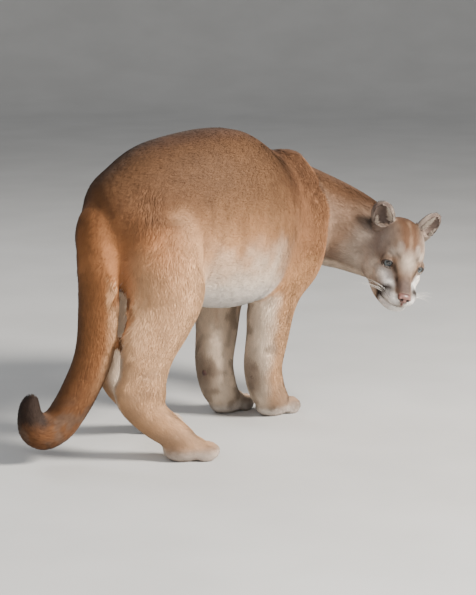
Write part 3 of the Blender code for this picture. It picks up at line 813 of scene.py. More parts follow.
def paint_tail(blend, at):
    """Orange at its root and darker downwards, with a dark tip; painted shade on its left side and a painted
    highlight on its right side, where it faces the light; and painted shade in the rump's creases and in
    wrinkles over the right hip.
    """
    points, tail = at.points, at.tail
    x, y, z = points.T
    root = spot(points, (0.000, -0.010, 0.465), (0.085, 0.075, 0.105), 0.5)
    blend(TAIL_UPPER, np.maximum(tail, root * (1 - tail)) * 0.85)
    blend(TAIL_LOWER, tail * smooth(0.30, 0.12, z) * 0.6)
    # Painted shade on the tail's left side, away from the light
    blend(BACK_AND_SHADE, tail * smooth(-0.3, 0.5, at.normals[:, 1]) * smooth(0.47, 0.33, z) * 0.7)
    # Painted highlight on the tail's right side, where it faces the light
    lit = at.normals @ np.array((0.574, -0.819, 0.0))
    blend(BRIGHT, tail * smooth(0.35, 0.95, lit) * smooth(0.12, 0.24, z) * 0.75)
    mottled = smooth(0.35, 0.65, noise_at(points, 0.020, 5))
    blend(BROWN, tail * smooth(0.17, 0.10, z) * mottled * 0.6)
    tip = smooth(-0.118, -0.140, x + 0.02 * at.ragged) * smooth(0.065, 0.10, z)
    blend(DARK, tail * tip * 0.93)
    # Painted shade in the rump's creases
    for shaded_crease in SHADED_CREASES:
        blend(SPINE_AND_SHADE, band(points, shaded_crease, 0.006, 0.9) * 0.4)
    # Painted shade in wrinkles of the fur over the right hip
    wrinkle = np.stack([x, z * 0.15, y * 0.3], axis=1)
    hip = spot(points, (0.16, -0.17, 0.46), (0.10, 0.08, 0.09), 0.7)
    blend(BACK_AND_SHADE, smooth(0.55, 0.80, noise_at(wrinkle, 0.012, 4)) * hip * 0.5)


def paint_head(blend, at):
    """The face, from the cheeks and the crown to the eyes' rims, the muzzle and the line of the mouth."""
    local, head = at.local, at.head
    fold = folded(local) + (0.0030 * at.fine)[:, None]

    def mark(paint, centre, radii, strength, soft=0.5):
        blend(paint, head * strength * spot(fold, centre, radii, soft))

    def streak(paint, knots, radius, strength, soft=0.6):
        blend(paint, head * strength * band(fold, knots, radius, soft))

    throat = spot(fold, (-0.045, 0.0, -0.125), (0.080, 0.050, 0.038), 0.8)
    blend(FACE, head * 0.95)
    blend(CREAM, np.isin(at.group, ("head", "neck")) * throat * 0.85)
    for paint, *where in CHEEKS:
        mark(paint, *where)
    crown = ((-0.110, 0.010, 0.080), (-0.044, 0.010, 0.079), (-0.011, 0.008, 0.062), (0.006, 0.012, 0.046))
    streak(RUST, crown, 0.013, 0.85, 0.8)
    streak(BUFF, ((-0.060, 0.0, 0.084), (0.010, 0.0, 0.046), (0.040, 0.0, 0.010)), 0.0040, 0.4, 0.9)
    for paint, *where in BROWS:
        mark(paint, *where)
    streak(DARK, ((0.010, 0.026, 0.026), (0.018, 0.021, 0.024)), 0.0036, 0.55, 0.9)
    mark(WHITE, (0.018, 0.043, -0.028), (0.024, 0.020, 0.016), 0.85, 0.8)
    mark(WHITE, (0.040, 0.034, -0.038), (0.022, 0.015, 0.013), 0.85, 0.7)
    mark(CREAM, (-0.010, 0.058, -0.040), (0.032, 0.026, 0.028), 0.55, 0.9)
    streak(DARK, ((0.021, 0.0275, 0.003), (0.030, 0.025, -0.004), (0.046, 0.019, -0.022)), 0.0046, 0.75, 0.8)
    streak(RUST, ((-0.006, 0.052, 0.004), (-0.034, 0.066, 0.000)), 0.007, 0.45, 0.9)
    streak(DARK, ((0.054, 0.037, -0.048), (0.044, 0.040, -0.060), (0.026, 0.040, -0.076)), 0.0170, 0.98, 0.5)
    mark(WHITE, (0.074, 0.024, -0.060), (0.026, 0.020, 0.015), 0.92, 0.6)
    for row in range(3):
        fall = 0.0055 * row
        lip = (0.054, 0.036 + 0.001 * row, -0.048 - fall), (0.074, 0.029, -0.052 - fall)
        streak(BROWN, lip, 0.0009, 0.5)
    x, z = local[:, 0], local[:, 2]
    blend(WHITE, head * smooth(-0.068, -0.078, z) * smooth(0.018, 0.036, x) * 0.95)
    blend(CREAM, head * smooth(-0.072, -0.086, z) * smooth(0.020, 0.0, x) * 0.8)
    streak(DARK, ((0.084, 0.0, -0.052), (0.083, 0.0, -0.070)), 0.0012, 0.9)
    streak(DARK, MOUTH, 0.0021, 0.85)
    for s in (-1, 1):
        rim = (local - np.array(eye_centre(s))) * (head > 0)[:, None]
        blend(DARK, head * smooth(0.0176, 0.0155, np.linalg.norm(rim, axis=1)) * 0.7)
    mark(DARK, (-0.096, 0.072, 0.050), (0.015, 0.014, 0.019), 0.8, 0.5)


def paint_ears(blend, at):
    """Brown in the cup, and dark behind with a grey patch."""
    for s in (-1, 1):
        lean = np.array(Matrix.Rotation(s * EAR_LEAN, 3, "X") @ Matrix.Rotation(s * EAR_TURN, 3, "Z"))
        ear = (at.local - np.array(ear_place(s))) @ lean
        facing = (at.facing @ lean)[:, 0]
        on = on_ear(ear)
        blend(EAR_BACK, on * 0.9)
        cup = smooth(0.026, 0.017, np.abs(ear[:, 1])) * smooth(0.066, 0.052, ear[:, 2])
        blend(EAR_INSIDE, on * (facing > 0.2) * cup * 0.85)
        blend(DARK, on * smooth(-0.5, -0.8, facing) * 0.9)
        patch = spot(ear, (-0.02, 0, 0.036), (0.03, 0.014, 0.016), 0.6)
        blend(GREY, on * smooth(-0.4, -0.8, facing) * patch * 0.6)


# Pale places of each cheek, of the temple and of the head's side behind it
CHEEKS = (
    (linear(212, 198, 182), (-0.048, 0.072, -0.044), (0.060, 0.042, 0.040), 0.85, 0.9),
    (linear(166, 152, 141), (-0.052, 0.060, 0.024), (0.044, 0.036, 0.042), 0.85, 0.9),
    (linear(150, 134, 120), (-0.084, 0.072, 0.006), (0.036, 0.030, 0.034), 0.7, 0.9),
)
# The bridge of the nose, pale between the eyes and darker in front, and two places above each eye
BROWS = (
    (linear(196, 180, 164), (0.030, 0.004, 0.020), (0.028, 0.016, 0.022), 0.75, 0.8),
    (linear(104, 88, 82), (0.070, 0.004, -0.024), (0.030, 0.017, 0.022), 0.85, 0.8),
    (linear(204, 190, 176), (0.003, 0.037, 0.026), (0.014, 0.016, 0.0080), 0.6, 0.9),
    (linear(206, 192, 178), (0.004, 0.022, 0.042), (0.014, 0.007, 0.012), 0.5, 0.8),
)


def skin_colours(points, normals, group, to_head):
    """The coat's colour at points of the animal's frame."""
    at = Places(points, normals, group, to_head)
    paint = Paint(len(points), TAWNY)
    for markings in (paint_trunk, paint_legs, paint_tail, paint_head, paint_ears):
        markings(paint.blend, at)
    clouds = noise_at(points, 0.075, 6) - 0.5
    flecks = noise_at(points, 0.0055, 7) - 0.5
    broken = 0.16 * at.fine + 0.20 * at.ragged * (at.trunk + at.tail)
    return paint.colour * (1 + broken + 0.30 * clouds * at.body + 0.30 * flecks * at.head)[:, None]


def colour_attribute(mesh, name, colours):
    made = mesh.color_attributes.new(name, "FLOAT_COLOR", "POINT")
    rgba = np.ones((len(colours), 4), np.float32)
    rgba[:, :3] = colours
    made.data.foreach_set("color", rgba.ravel())


# The coat

def unwrap_regions(mesh, region):
    """A map over the skin's own shape, with each region's faces packed over the whole square."""
    obj = linked("unwrap", mesh)
    bpy.ops.object.select_all(action="DESELECT")
    obj.select_set(True)
    bpy.context.view_layer.objects.active = obj
    mesh.uv_layers.active = mesh.uv_layers.new(name="patches")
    bpy.ops.object.mode_set(mode="EDIT")
    bpy.context.tool_settings.mesh_select_mode = (False, False, True)
    for index in range(region.max() + 1):
        bpy.ops.mesh.select_all(action="DESELECT")
        bpy.ops.object.mode_set(mode="OBJECT")
        mesh.polygons.foreach_set("select", region == index)
        bpy.ops.object.mode_set(mode="EDIT")
        bpy.ops.uv.smart_project(angle_limit=math.radians(66), island_margin=0.004)
    bpy.ops.object.mode_set(mode="OBJECT")
    found = read(mesh.uv_layers["patches"].data, "uv", 2)
    mesh.uv_layers.remove(mesh.uv_layers["patches"])
    bpy.data.objects.remove(obj)
    return found.reshape(-1, 3, 2)


def mesh_of(name, points, faces):
    """A mesh from arrays of corners and of triangles."""
    mesh = bpy.data.meshes.new(name)
    mesh.vertices.add(len(points))
    mesh.vertices.foreach_set("co", points.astype(np.float32).ravel())
    mesh.loops.add(len(faces) * 3)
    mesh.loops.foreach_set("vertex_index", faces.astype(np.int32).ravel())
    mesh.polygons.add(len(faces))
    mesh.polygons.foreach_set("loop_start", np.arange(0, len(faces) * 3, 3, dtype=np.int32))
    mesh.polygons.foreach_set("use_smooth", np.ones(len(faces), bool))
    mesh.update()
    return mesh


def grow_tufts(name, root, normal, way, fact, colour, patch):
    """A piece of the coat. A tuft is a thin closed leaf: a root under the skin, two edges and a tip."""
    count = len(root)
    depth, length, width = fact.T
    side = unit(np.cross(normal, way))
    swirl = side * ((noise_at(root, 0.016, 6) - 0.5) * TUFT_SWIRL)[:, None]
    way = unit(way + side * RNG.normal(0, TUFT_SCATTER, (count, 1)) + swirl)
    side = unit(np.cross(normal, way))
    length = length * RNG.uniform(0.7, 1.2, count)
    width = width * RNG.uniform(0.7, 1.25, count)
    rise = depth * RNG.uniform(0.70, 1.0, count)
    heap = depth * TUFT_STAND * RNG.uniform(0.75, 1.1, count)
    middle = root + way * (length * 0.40)[:, None] + heap[:, None] * normal
    points = np.stack([
        root - normal * TUFT_ROOT - way * (length * 0.05)[:, None],
        middle + side * (width / 2)[:, None],
        middle - side * (width / 2)[:, None],
        root + way * length[:, None] + normal * rise[:, None],
    ], axis=1)
    leaf = np.array([(0, 2, 1), (3, 1, 2), (0, 1, 3), (0, 3, 2)])
    faces = (np.arange(count)[:, None, None] * 4 + leaf[None]).reshape(-1, 3)
    mesh = mesh_of(name, points.reshape(-1, 3), faces)
    bend = (-way * 0.10, side * 0.16, -side * 0.16, way * 0.12)
    lean = unit(np.stack([normal + toward for toward in bend], axis=1))
    mesh.normals_split_custom_set_from_vertices(lean.reshape(-1, 3).astype(np.float32))
    # Each tuft's tone differs at random; its root is darkened as painted shade under the coat, and its tip is
    # a little lighter
    tone_and_root_shade = RNG.normal(1.0, 0.045, (count, 1, 1)) * np.array([0.93, 0.99, 0.99, 1.04])[None, :, None]
    colour_attribute(mesh, "coat", np.clip(colour[:, None] * tone_and_root_shade, 0, 1).reshape(-1, 3))
    spread = np.array([(0, -1), (1, 0), (-1, 0), (0, 1)]) * TUFT_ON_MAP
    places = (patch[:, None] + spread[None]).reshape(-1, 2)[faces.ravel()]
    layer = mesh.uv_layers.new(name="OFBake")
    layer.data.foreach_set("uv", places.astype(np.float32).ravel())
    return linked(name, mesh)


def settle(obj, place, paint):
    """Moves a piece into the frame, gives it its material and hangs it on the root."""
    obj.data.transform(place)
    obj.data.materials.clear()
    obj.data.materials.append(paint)
    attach(obj, "root")
    return obj


# How much denser than elsewhere each part's tufts stand
THICKNESS = {"trunk": 1.9, "tail": 1.5, "hind": 0.68, "fore": 0.68}

REGIONS = ("head", "neck", "chest", "loin_right", "loin_left", "rump", "tail", "hind_right", "hind_left",
           "fore_right", "fore_left")


def region_of(points, group):
    """Which piece of the coat grows at each point."""
    index = np.full(len(points), REGIONS.index("rump"))
    for name in REGIONS:
        index[group == name] = REGIONS.index(name)
    trunk = group == "trunk"
    index[trunk & (points[:, 0] > 0.50)] = REGIONS.index("chest")
    loin = trunk & (points[:, 0] > 0.20) & (points[:, 0] <= 0.50)
    index[loin & (points[:, 1] < -0.085)] = REGIONS.index("loin_right")
    index[loin & (points[:, 1] >= -0.085)] = REGIONS.index("loin_left")
    return index


def bare_at(points, to_head):
    """One where no hair grows: the eyes' openings, the line of the mouth and under the nose's leather."""
    local = into(points, to_head)
    bare = spot(local, (0.0795, 0, -0.044), (0.0125, 0.0185, 0.0130), 0.05)
    for s in (-1, 1):
        gap = np.linalg.norm(local - np.array(eye_centre(s)), axis=1)
        bare = np.maximum(bare, gap < EYE_RADIUS + 0.0022)
    return np.maximum(bare, band(folded(local), MOUTH, 0.0016, 0.05))


def scatter(points, normals, corners, density, patches):
    """Roots drawn over the skin by density, with the face, normal and place on the map of each."""
    pick = RNG.choice(len(corners), TUFTS // (1), p=density / density.sum())
    pick.sort()
    share = RNG.dirichlet((1, 1, 1), len(pick))[..., None]
    root, normal, patch = ((rows * share).sum(axis=1) for rows in (
        points[corners[pick]], normals[corners[pick]], patches[pick]))
    return pick, root, unit(normal), patch


def lie_at(root, normal, samples, to_head):
    """The mass at each root, the way its fur lies on the skin, and its depth, length and width there."""
    group, way, fact = read_lie(root, samples)
    for s in (-1, 1):
        frame_of = ear_frame(s, to_head.inverted()).inverted()
        on = on_ear(into(root, frame_of))[:, None]
        way = way * (1 - on) + np.array(frame_of)[2, :3] * on
        fact = fact * (1 - on) + np.array(EAR_FUR) * on
    way = unit(way - normal * (way * normal).sum(axis=1, keepdims=True))
    fact = fact * np.array(COAT_SCALE)
    shaggy = band(root, PALE_THIGH, 0.032, 0.6) + band(root, BELLY, 0.035, 0.6)
    fact = fact * (1 + shaggy[:, None] * np.array(SHAGGY_FUR))
    edge = band(root, THIGH_EDGE, 0.034, 0.6)
    return group, way, fact * (1 + edge[:, None] * np.array(EDGE_FUR))


def grow_coat(skin, samples, to_head, place):
    """Tufts all over the skin, denser where they are finer, joined into a piece for each region."""
    mesh = skin.data
    points, normals = positions(mesh), normals_of(mesh)
    corners = read(mesh.polygons, "vertices", 3, np.int32)
    middle = points[corners].mean(axis=1)
    group, _, fact = read_lie(middle, samples)
    region = region_of(middle, group)
    clothed = 1 - bare_at(middle, to_head)
    patches = unwrap_regions(mesh.copy(), region)
    first, second, third = (points[corners[:, k]] for k in range(3))
    area = np.linalg.norm(np.cross(second - first, third - first), axis=1) / 2
    thick = np.array([next((v for k, v in THICKNESS.items() if g.startswith(k)), 1.0) for g in group])
    density = area * clothed * thick / (fact[:, 1] * fact[:, 2])
    pick, root, normal, patch = scatter(points, normals, corners, density, patches)
    group, way, fact = lie_at(root, normal, samples, to_head)
    colour = skin_colours(root, normal, group, to_head)
    paint = fur_material("coat_fur", 0.25)
    for index, name in enumerate(REGIONS):
        here = region[pick] == index
        piece = grow_tufts("coat_" + name, *(rows[here] for rows in (root, normal, way, fact, colour, patch)))
        settle(piece, place, paint)


# Materials

def nodes_for(name):
    made = bpy.data.materials.new(name)
    made.use_nodes = True
    tree = made.node_tree
    return made, tree, tree.nodes["Principled BSDF"]


def fill(tree, node, inputs):
    """Sets a node's inputs, to a value or to another node's output."""
    for name, value in inputs.items():
        if isinstance(value, bpy.types.NodeSocket):
            tree.links.new(value, node.inputs[name])
        else:
            node.inputs[name].default_value = value


def add(tree, kind, inputs, result, operation=None):
    """The named output of a new node."""
    node = tree.nodes.new("ShaderNode" + kind)
    if operation:
        node.operation = operation
    fill(tree, node, inputs)
    return node.outputs[result]


def add_noise(tree, scale, detail):
    where = add(tree, "TexCoord", {}, "Object")
    return add(tree, "TexNoise", {"Scale": scale, "Detail": detail, "Vector": where}, "Fac")


def add_relief(tree, shader, noise, low, high, strength, distance):
    """A roughness and a bump from one noise."""
    rough = add(tree, "MapRange", {"To Min": low, "To Max": high, "Value": noise}, "Result")
    bump = add(tree, "Bump", {"Strength": strength, "Distance": distance, "Height": noise}, "Normal")
    fill(tree, shader, {"Roughness": rough, "Normal": bump})


def add_paint(tree):
    """The colours that the mesh carries."""
    node = tree.nodes.new("ShaderNodeAttribute")
    node.attribute_name = "coat"
    return node.outputs["Color"]


def fur_material(name, strength):
    """The markings from the mesh, broken up by fine and broad noise, with a bump of strands."""
    made, tree, shader = nodes_for(name)
    fine, broad = add_noise(tree, 420, 3), add_noise(tree, 26, 4)
    spread = {"From Min": 0.3, "From Max": 0.7, "To Min": 0.93, "To Max": 1.07}
    parts = [add(tree, "MapRange", {**spread, "Value": noise}, "Result") for noise in (fine, broad)]
    both = add(tree, "Math", dict(enumerate(parts)), "Value", "MULTIPLY")
    tint = add(tree, "VectorMath", {0: add_paint(tree), "Scale": both}, "Vector", "SCALE")
    fill(tree, shader, {"Base Color": tint, "Sheen Weight": 0.04, "Sheen Roughness": 0.45,
                        "Specular IOR Level": 0.25})
    add_relief(tree, shader, fine, 0.62, 0.86, strength, 0.001)
    return made


def simple_material(name, colour, second, scale, roughness, bumpiness):
    """Two colours mixed by noise, with a bump and a roughness from the same noise."""
    made, tree, shader = nodes_for(name)
    noise = add_noise(tree, scale, 5)
    ramp = tree.nodes.new("ShaderNodeValToRGB")
    for stop, paint, place in zip(ramp.color_ramp.elements, (colour, second), (0.35, 0.65)):
        stop.color = (*paint, 1)
        stop.position = place
    fill(tree, ramp, {"Fac": noise})
    fill(tree, shader, {"Base Color": ramp.outputs["Color"]})
    add_relief(tree, shader, noise, roughness * 0.85, roughness * 1.15, bumpiness, 0.0006)
    return made


def painted_material(name, relief, coat, coat_roughness):
    """The colours that the mesh carries, under a clear coat."""
    made, tree, shader = nodes_for(name)
    scale, *rest = relief
    add_relief(tree, shader, add_noise(tree, scale, 3), *rest)
    fill(tree, shader, {"Base Color": add_paint(tree), "Coat Weight": coat, "Coat Roughness": coat_roughness})
    return made


def cornea_material():
    made, tree, shader = nodes_for("eye_cornea")
    fill(tree, shader, {"Base Color": (0.01, 0.01, 0.01, 1), "Alpha": 0.22, "IOR": 2.1, "Coat Weight": 1.0,
                        "Coat Roughness": 0.02})
    add_relief(tree, shader, add_noise(tree, 300, 3), 0.015, 0.04, 0.02, 0.00005)
    return made


# Eyes, nose, lids, whiskers and the hair in the ears

def ring_about(point, ahead, side, radius, sides):
    """The points of a ring across the way ahead, and the direction of its first one."""
    side = (side - ahead * side.dot(ahead)).normalized()
    across = ahead.cross(side)
    return [point + (side * math.cos(t) + across * math.sin(t)) * radius for t in turns(sides)], side


def tube(points, radii, sides):
    """A closed tube along points, with a radius at each."""
    rings = []
    side = None
    for i, point in enumerate(points):
        ahead = (points[min(i + 1, len(points) - 1)] - points[max(i - 1, 0)]).normalized()
        ring, side = ring_about(point, ahead, side or ahead.orthogonal(), radii[i], sides)
        rings.append(ring)
    return shell(rings)


def ring_tube(points, radii, sides=8):
    """A tube that closes on itself."""
    count = len(points)
    middle = sum(points, Vector()) / count
    rings = []
    for i, point in enumerate(points):
        ahead = (points[(i + 1) % count] - points[i - 1]).normalized()
        rings.append(ring_about(point, ahead, point - middle, radii[i], sides)[0])
    bm = shell(rings, joined=True, capped=())
    bmesh.ops.recalc_face_normals(bm, faces=bm.faces)
    return bm


def lathe(profile, matrix, sides=64):
    """A solid turned about the x axis from (x, radius) pairs, whose ends lie on the axis."""
    rings = []
    for x, radius in profile:
        angles = turns(sides) if radius else (0,)
        rings.append([matrix @ Vector((x, radius * math.cos(t), radius * math.sin(t))) for t in angles])
    bm = shell(rings, capped=())
    bmesh.ops.recalc_face_normals(bm, faces=bm.faces)
    return bm


def piece_of(name, meshes, place, paint):
    obj = object_of(name, meshes)
    obj.data.shade_smooth()
    return settle(obj, place, paint)


# The eye: the radii of iris and pupil, and how far before its centre the iris's outer and inner
# edge, the pupil and the top of the cornea lie
IRIS_RADIUS = 0.0098
PUPIL_RADIUS = 0.0037
IRIS_EDGE = 0.0104
IRIS_DEPTH = 0.0096
PUPIL_DEPTH = 0.0070
CORNEA_TOP = 0.0158


def eye_matrix(side, matrix):
    """Looks ahead, a little outwards and down."""
    turn = Matrix.Rotation(side * math.radians(14), 4, "Z") @ Matrix.Rotation(math.radians(-3), 4, "Y")
    return matrix @ Matrix.Translation(eye_centre(side)) @ turn


def eye_profile():
    start = math.asin(0.0102 / EYE_RADIUS)
    white = [start + (math.pi - start) * (1 - k / 24) for k in range(25)]
    profile = [(EYE_RADIUS * math.cos(a), EYE_RADIUS * math.sin(a) if k else 0) for k, a in enumerate(white)]
    profile.append((IRIS_EDGE, IRIS_RADIUS))
    for k in range(1, 9):
        share = k / 8
        depth = IRIS_EDGE + (IRIS_DEPTH - IRIS_EDGE) * share
        profile.append((depth, IRIS_RADIUS + (PUPIL_RADIUS - IRIS_RADIUS) * share))
    profile += [(PUPIL_DEPTH, PUPIL_RADIUS * 0.94), (PUPIL_DEPTH, 0)]
    return profile


def cornea_profile():
    edge = 0.0103
    base = math.sqrt(EYE_RADIUS**2 - edge**2) + 0.0001
    profile = [(base - 0.0003, 0), (base - 0.0003, edge * 0.98)]
    for k in range(13):
        angle = math.pi / 2 * (1 - k / 12)
        radius = edge * math.sin(angle) if k < 12 else 0
        profile.append((base + (CORNEA_TOP - base) * math.cos(angle), radius))
    return profile


def eye_colours(mesh, inverse):
    """Rings of colour about the pupil, with fine spokes."""
    at = into(positions(mesh), inverse)
    reach = np.hypot(at[:, 1], at[:, 2])
    angle = np.arctan2(at[:, 2], at[:, 1])
    front = at[:, 0] > 0.006
    paint = Paint(len(at), linear(78, 62, 52))
    for colour, low, high, soft, strength in (
        (linear(78, 96, 104), 0.0020, 0.0092, 0.0005, 1.0),
        (linear(112, 128, 132), 0.0050, 0.0076, 0.0010, 0.6),
        (linear(62, 62, 56), 0.0030, 0.0052, 0.0006, 0.8),
        (linear(20, 23, 25), 0.0086, 0.0106, 0.0006, 1.0),
    ):
        inside = smooth(low - soft, low + soft, reach) * (1 - smooth(high - soft, high + soft, reach))
        paint.blend(colour, inside * front * strength)
    spokes = 0.5 + 0.25 * np.sin(angle * 23 + 2.1 * np.sin(angle * 5)) + 0.25 * np.sin(angle * 41 + 1.3)
    iris = ((reach > 0.0042) & (reach < 0.0092) & front)[:, None]
    colour = np.where(iris, paint.colour * (0.78 + 0.44 * spokes[:, None]), paint.colour)
    hole = ((reach < PUPIL_RADIUS * 0.99) & front)[:, None]
    return np.where(hole, 0.002, colour)


def build_eyes(matrix, place):
    iris = painted_material("eye_iris", (900, 0.30, 0.42, 0.2, 0.0002), 0.6, 0.03)
    clear = cornea_material()
    for side, name in ((-1, "right"), (1, "left")):
        turn = eye_matrix(side, matrix)
        eyeball = object_of("eyeball_" + name, [lathe(eye_profile(), turn)])
        colour_attribute(eyeball.data, "coat", eye_colours(eyeball.data, turn.inverted()))
        eyeball.data.shade_smooth()
        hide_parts("eye_" + name)
        settle(eyeball, place, iris)
        piece_of("cornea_" + name, [lathe(cornea_profile(), turn)], place, clear)


def build_lids(tree, matrix, place, paint):
    """Dark rims that follow the skin round each eye's opening."""
    rims = []
    for side in (-1, 1):
        centre, out, slant = lid_frame(side)
        centre = matrix @ centre
        turn = matrix.to_3x3() @ out @ slant
        ahead = turn @ Vector(AHEAD)
        points, radii = [], []
        for angle in turns(LID_STEPS):
            flat = turn @ Vector((0, LID_WIDTH * math.cos(angle), LID_HEIGHT * math.sin(angle))) * 1.05
            hit = tree.ray_cast(centre + flat + ahead * 0.03, -ahead)[0]
            points.append((hit if hit else centre + flat) - ahead * 0.0004)
            radii.append(0.0012 + 0.0005 * max(0.0, math.sin(angle)) + 0.0005 * abs(math.cos(angle)) ** 3)
        for _ in range(3):
            after = points[1:] + points[:1]
            points = [(points[k - 1] + 2 * points[k] + after[k]) / 4 for k in range(LID_STEPS)]
        rims.append(ring_tube(points, radii))
    piece_of("lid_rims", rims, place, paint)


def build_nose(matrix, place):
    """The leather: a broad pad above a narrow stem, a wing round each nostril and a slit behind it."""
    masses = [
        ball((0.0790, 0, -0.0415), (0.0115, 0.0165, 0.0095)),
        ball((0.0815, 0, -0.0490), (0.0095, 0.0105, 0.0080)),
        ball((0.0820, 0, -0.0575), (0.0050, 0.0030, 0.0080)),
    ]
    masses += [ball((0.0825, s * 0.0105, -0.0445), (0.0075, 0.0062, 0.0062)) for s in (-1, 1)]
    nose = object_of("nose_leather", masses)
    fuse(nose, 0.0007)
    points = positions(nose.data)
    set_positions(nose.data, relax(nose.data, points, np.full(len(points), 0.5), 3))
    for s in (-1, 1):
        hole = Matrix.Rotation(s * math.radians(38), 3, "Z")
        slit = Matrix.Rotation(s * math.radians(50), 3, "Z") @ Matrix.Rotation(s * math.radians(-24), 3, "X")
        carve(nose, [ball((0.0900, s * 0.0072, -0.0460), (0.0056, 0.0030, 0.0029), hole)])
        carve(nose, [ball((0.0860, s * 0.0128, -0.0475), (0.0034, 0.0050, 0.0011), slit)])
    at = positions(nose.data)
    dark = np.zeros(len(at))
    for s in (-1, 1):
        dark = np.maximum(dark, spot(at, (0.0875, s * 0.0078, -0.0462), (0.0062, 0.0044, 0.0040), 0.35))
        dark = np.maximum(dark, 0.8 * spot(at, (0.0850, s * 0.0130, -0.0478), (0.0045, 0.0050, 0.0018), 0.5))
    edge = smooth(0.0135, 0.0172, np.abs(at[:, 1])) + smooth(-0.0365, -0.0325, at[:, 2])
    dark = np.clip(np.maximum(dark, 0.65 * edge), 0, 1)[:, None]
    pink = np.array(linear(118, 84, 76)) * (0.85 + 0.3 * noise_at(at, 0.003, 8))[:, None]
    colour_attribute(nose.data, "coat", pink * (1 - dark) + np.array(linear(44, 30, 28)) * dark)
    nose.data.shade_smooth()
    one_material(nose.data)
    leather = painted_material("nose_skin", (1100, 0.34, 0.5, 0.5, 0.0003), 0.15, 0.3)
    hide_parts("nose")
    settle(nose, place @ matrix, leather)


def build_whiskers(tree, matrix, place):
    """Rows on each lip pad, sweeping back and down."""
    hairs = []
    for side in (-1, 1):
        roots = [(0.058 - 0.006 * k, 0.030 + 0.0035 * k, -0.048 - 0.0048 * row, 0.052 + 0.008 * k)
                 for row in range(3) for k in range(4)]
        for x, y, z, length in roots:
            start = matrix @ Vector((x, side * y, z))
            way = Vector((-0.60, side * 0.80, 0.06 + RNG.normal(0, 0.10)))
            way = (matrix.to_3x3() @ way).normalized()
            hit = tree.ray_cast(start + way * 0.05, -way)[0]
            root = (hit if hit else start) - way * 0.002
            length *= RNG.uniform(0.85, 1.15)
            steps = [k / 9 for k in range(10)]
            straight = [root + way * (length * k / 9) for k in range(10)]
            points = [p - Vector(UP) * (length * 0.22 * t**2) for p, t in zip(straight, steps)]
            hairs.append(tube(points, [0.00024 * (1 - 0.85 * k / 9) for k in range(10)], 5))
    paint = simple_material("whisker", linear(238, 234, 226), linear(214, 208, 198), 60, 0.4, 0.1)
    piece_of("whiskers", hairs, place, paint)


def build_ear_hair(matrix, place):
    """Long pale hairs that cross each ear's cup from its front and lower rim."""
    roots, ways, outward, lengths = [], [], [], []
    for s in (-1, 1):
        frame_of = ear_frame(s, matrix)
        turn = frame_of.to_3x3()
        for k in range(EAR_HAIRS):
            share = RNG.uniform(0, 1)
            edge = -s if k % 5 else s
            across = edge * (0.0225 - 0.005 * share) + RNG.normal(0, 0.0012)
            height = 0.004 + (0.040 if k % 5 else 0.022) * share
            roots.append(frame_of @ Vector((0.004 + RNG.normal(0, 0.0012), across, height)))
            inward = -edge * (0.75 - 0.25 * share)
            lean = Vector((0.25 + RNG.normal(0, 0.12), inward, 0.55 + RNG.normal(0, 0.15)))
            ways.append(turn @ lean.normalized())
            outward.append(turn @ Vector(AHEAD))
            lengths.append(RNG.uniform(0.009, 0.018) * (1 - 0.4 * share))
    roots, ways, outward = (np.array([tuple(v) for v in rows]) for rows in (roots, ways, outward))
    count = len(roots)
    ways = unit(ways - outward * (ways * outward).sum(axis=1, keepdims=True) * 0.8)
    colour = np.tile(linear(172, 158, 144), (count, 1)) * RNG.uniform(0.65, 1.05, (count, 1))
    fact = np.stack([np.full(count, 0.0022), lengths, np.full(count, 0.0008)], axis=1)
    hair = grow_tufts("coat_ears", roots, outward, ways, fact, colour, RNG.uniform(0.02, 0.98, (count, 2)))
    settle(hair, place, bpy.data.materials["coat_fur"])


def build_wrist_pads(place, paint):
    pads = []
    for *_, wrist, _, degrees in FORE.values():
        at = Vector(wrist) - ahead_of(degrees) * 0.0345 + Vector(WRIST_PAD_RISE)
        pads.append(ball(at, (0.0080, 0.0090, 0.0105)))
    piece_of("wrist_pads", pads, place, paint)


# The skin

def swell(points, back=False):
    """Spreads space about the head, so that one voxel size makes the head finer, or undoes it."""
    middle = np.array(HEAD_MIDDLE)
    offset = points - middle
    reach = np.maximum(np.linalg.norm(offset, axis=1, keepdims=True), 1e-9)
    if back:
        edge = HEAD_ZONE * HEAD_ZOOM
        new = np.where(reach < edge, reach / HEAD_ZOOM, reach - (HEAD_ZOOM - 1) * HEAD_ZONE)
    else:
        new = np.where(reach < HEAD_ZONE, reach * HEAD_ZOOM, reach + (HEAD_ZOOM - 1) * HEAD_ZONE)
    return middle + offset / reach * new


def relax(mesh, points, share, rounds):
    """Moves each point towards the mean of its neighbours by its share."""
    one, two = read(mesh.edges, "vertices", 2, np.int32).T
    count = np.bincount(one, minlength=len(points)) + np.bincount(two, minlength=len(points))
    for _ in range(rounds):
        mean = np.empty_like(points)
        for axis in range(3):
            mean[:, axis] = np.bincount(one, points[two, axis], len(points))
            mean[:, axis] += np.bincount(two, points[one, axis], len(points))
        points = points + (mean / np.maximum(count, 1)[:, None] - points) * share[:, None]
    return points


def ease_skin(mesh, points, matrix):
    """Eases the fused masses: a little everywhere, and much at the shoulders, the nape and the left hip."""
    to_head = matrix.inverted()
    away = smooth(0.12, 0.17, np.linalg.norm(points - np.array(HEAD_MIDDLE), axis=1))
    for share_at, rounds in (
        (lambda p: np.ones(len(p)), SKIN_EASE),
        (lambda p: away * smooth(0.03, 0.10, p[:, 2]), BODY_EASE),
        (lambda p: away * spot(p, (0.62, -0.06, 0.52), (0.20, 0.24, 0.22), 0.4), SHOULDER_EASE),
        (lambda p: spot(into(p, to_head), (-0.115, 0, -0.02), (0.060, 0.12, 0.11), 0.35), NAPE_EASE),
        (lambda p: spot(p, (0.185, 0.100, 0.490), (0.075, 0.060, 0.070), 0.5), HIP_EASE),
    ):
        points = relax(mesh, points, 0.5 * share_at(points), rounds)
    return points


def one_material(mesh):
    mesh.polygons.foreach_set("material_index", np.zeros(len(mesh.polygons), np.int32))


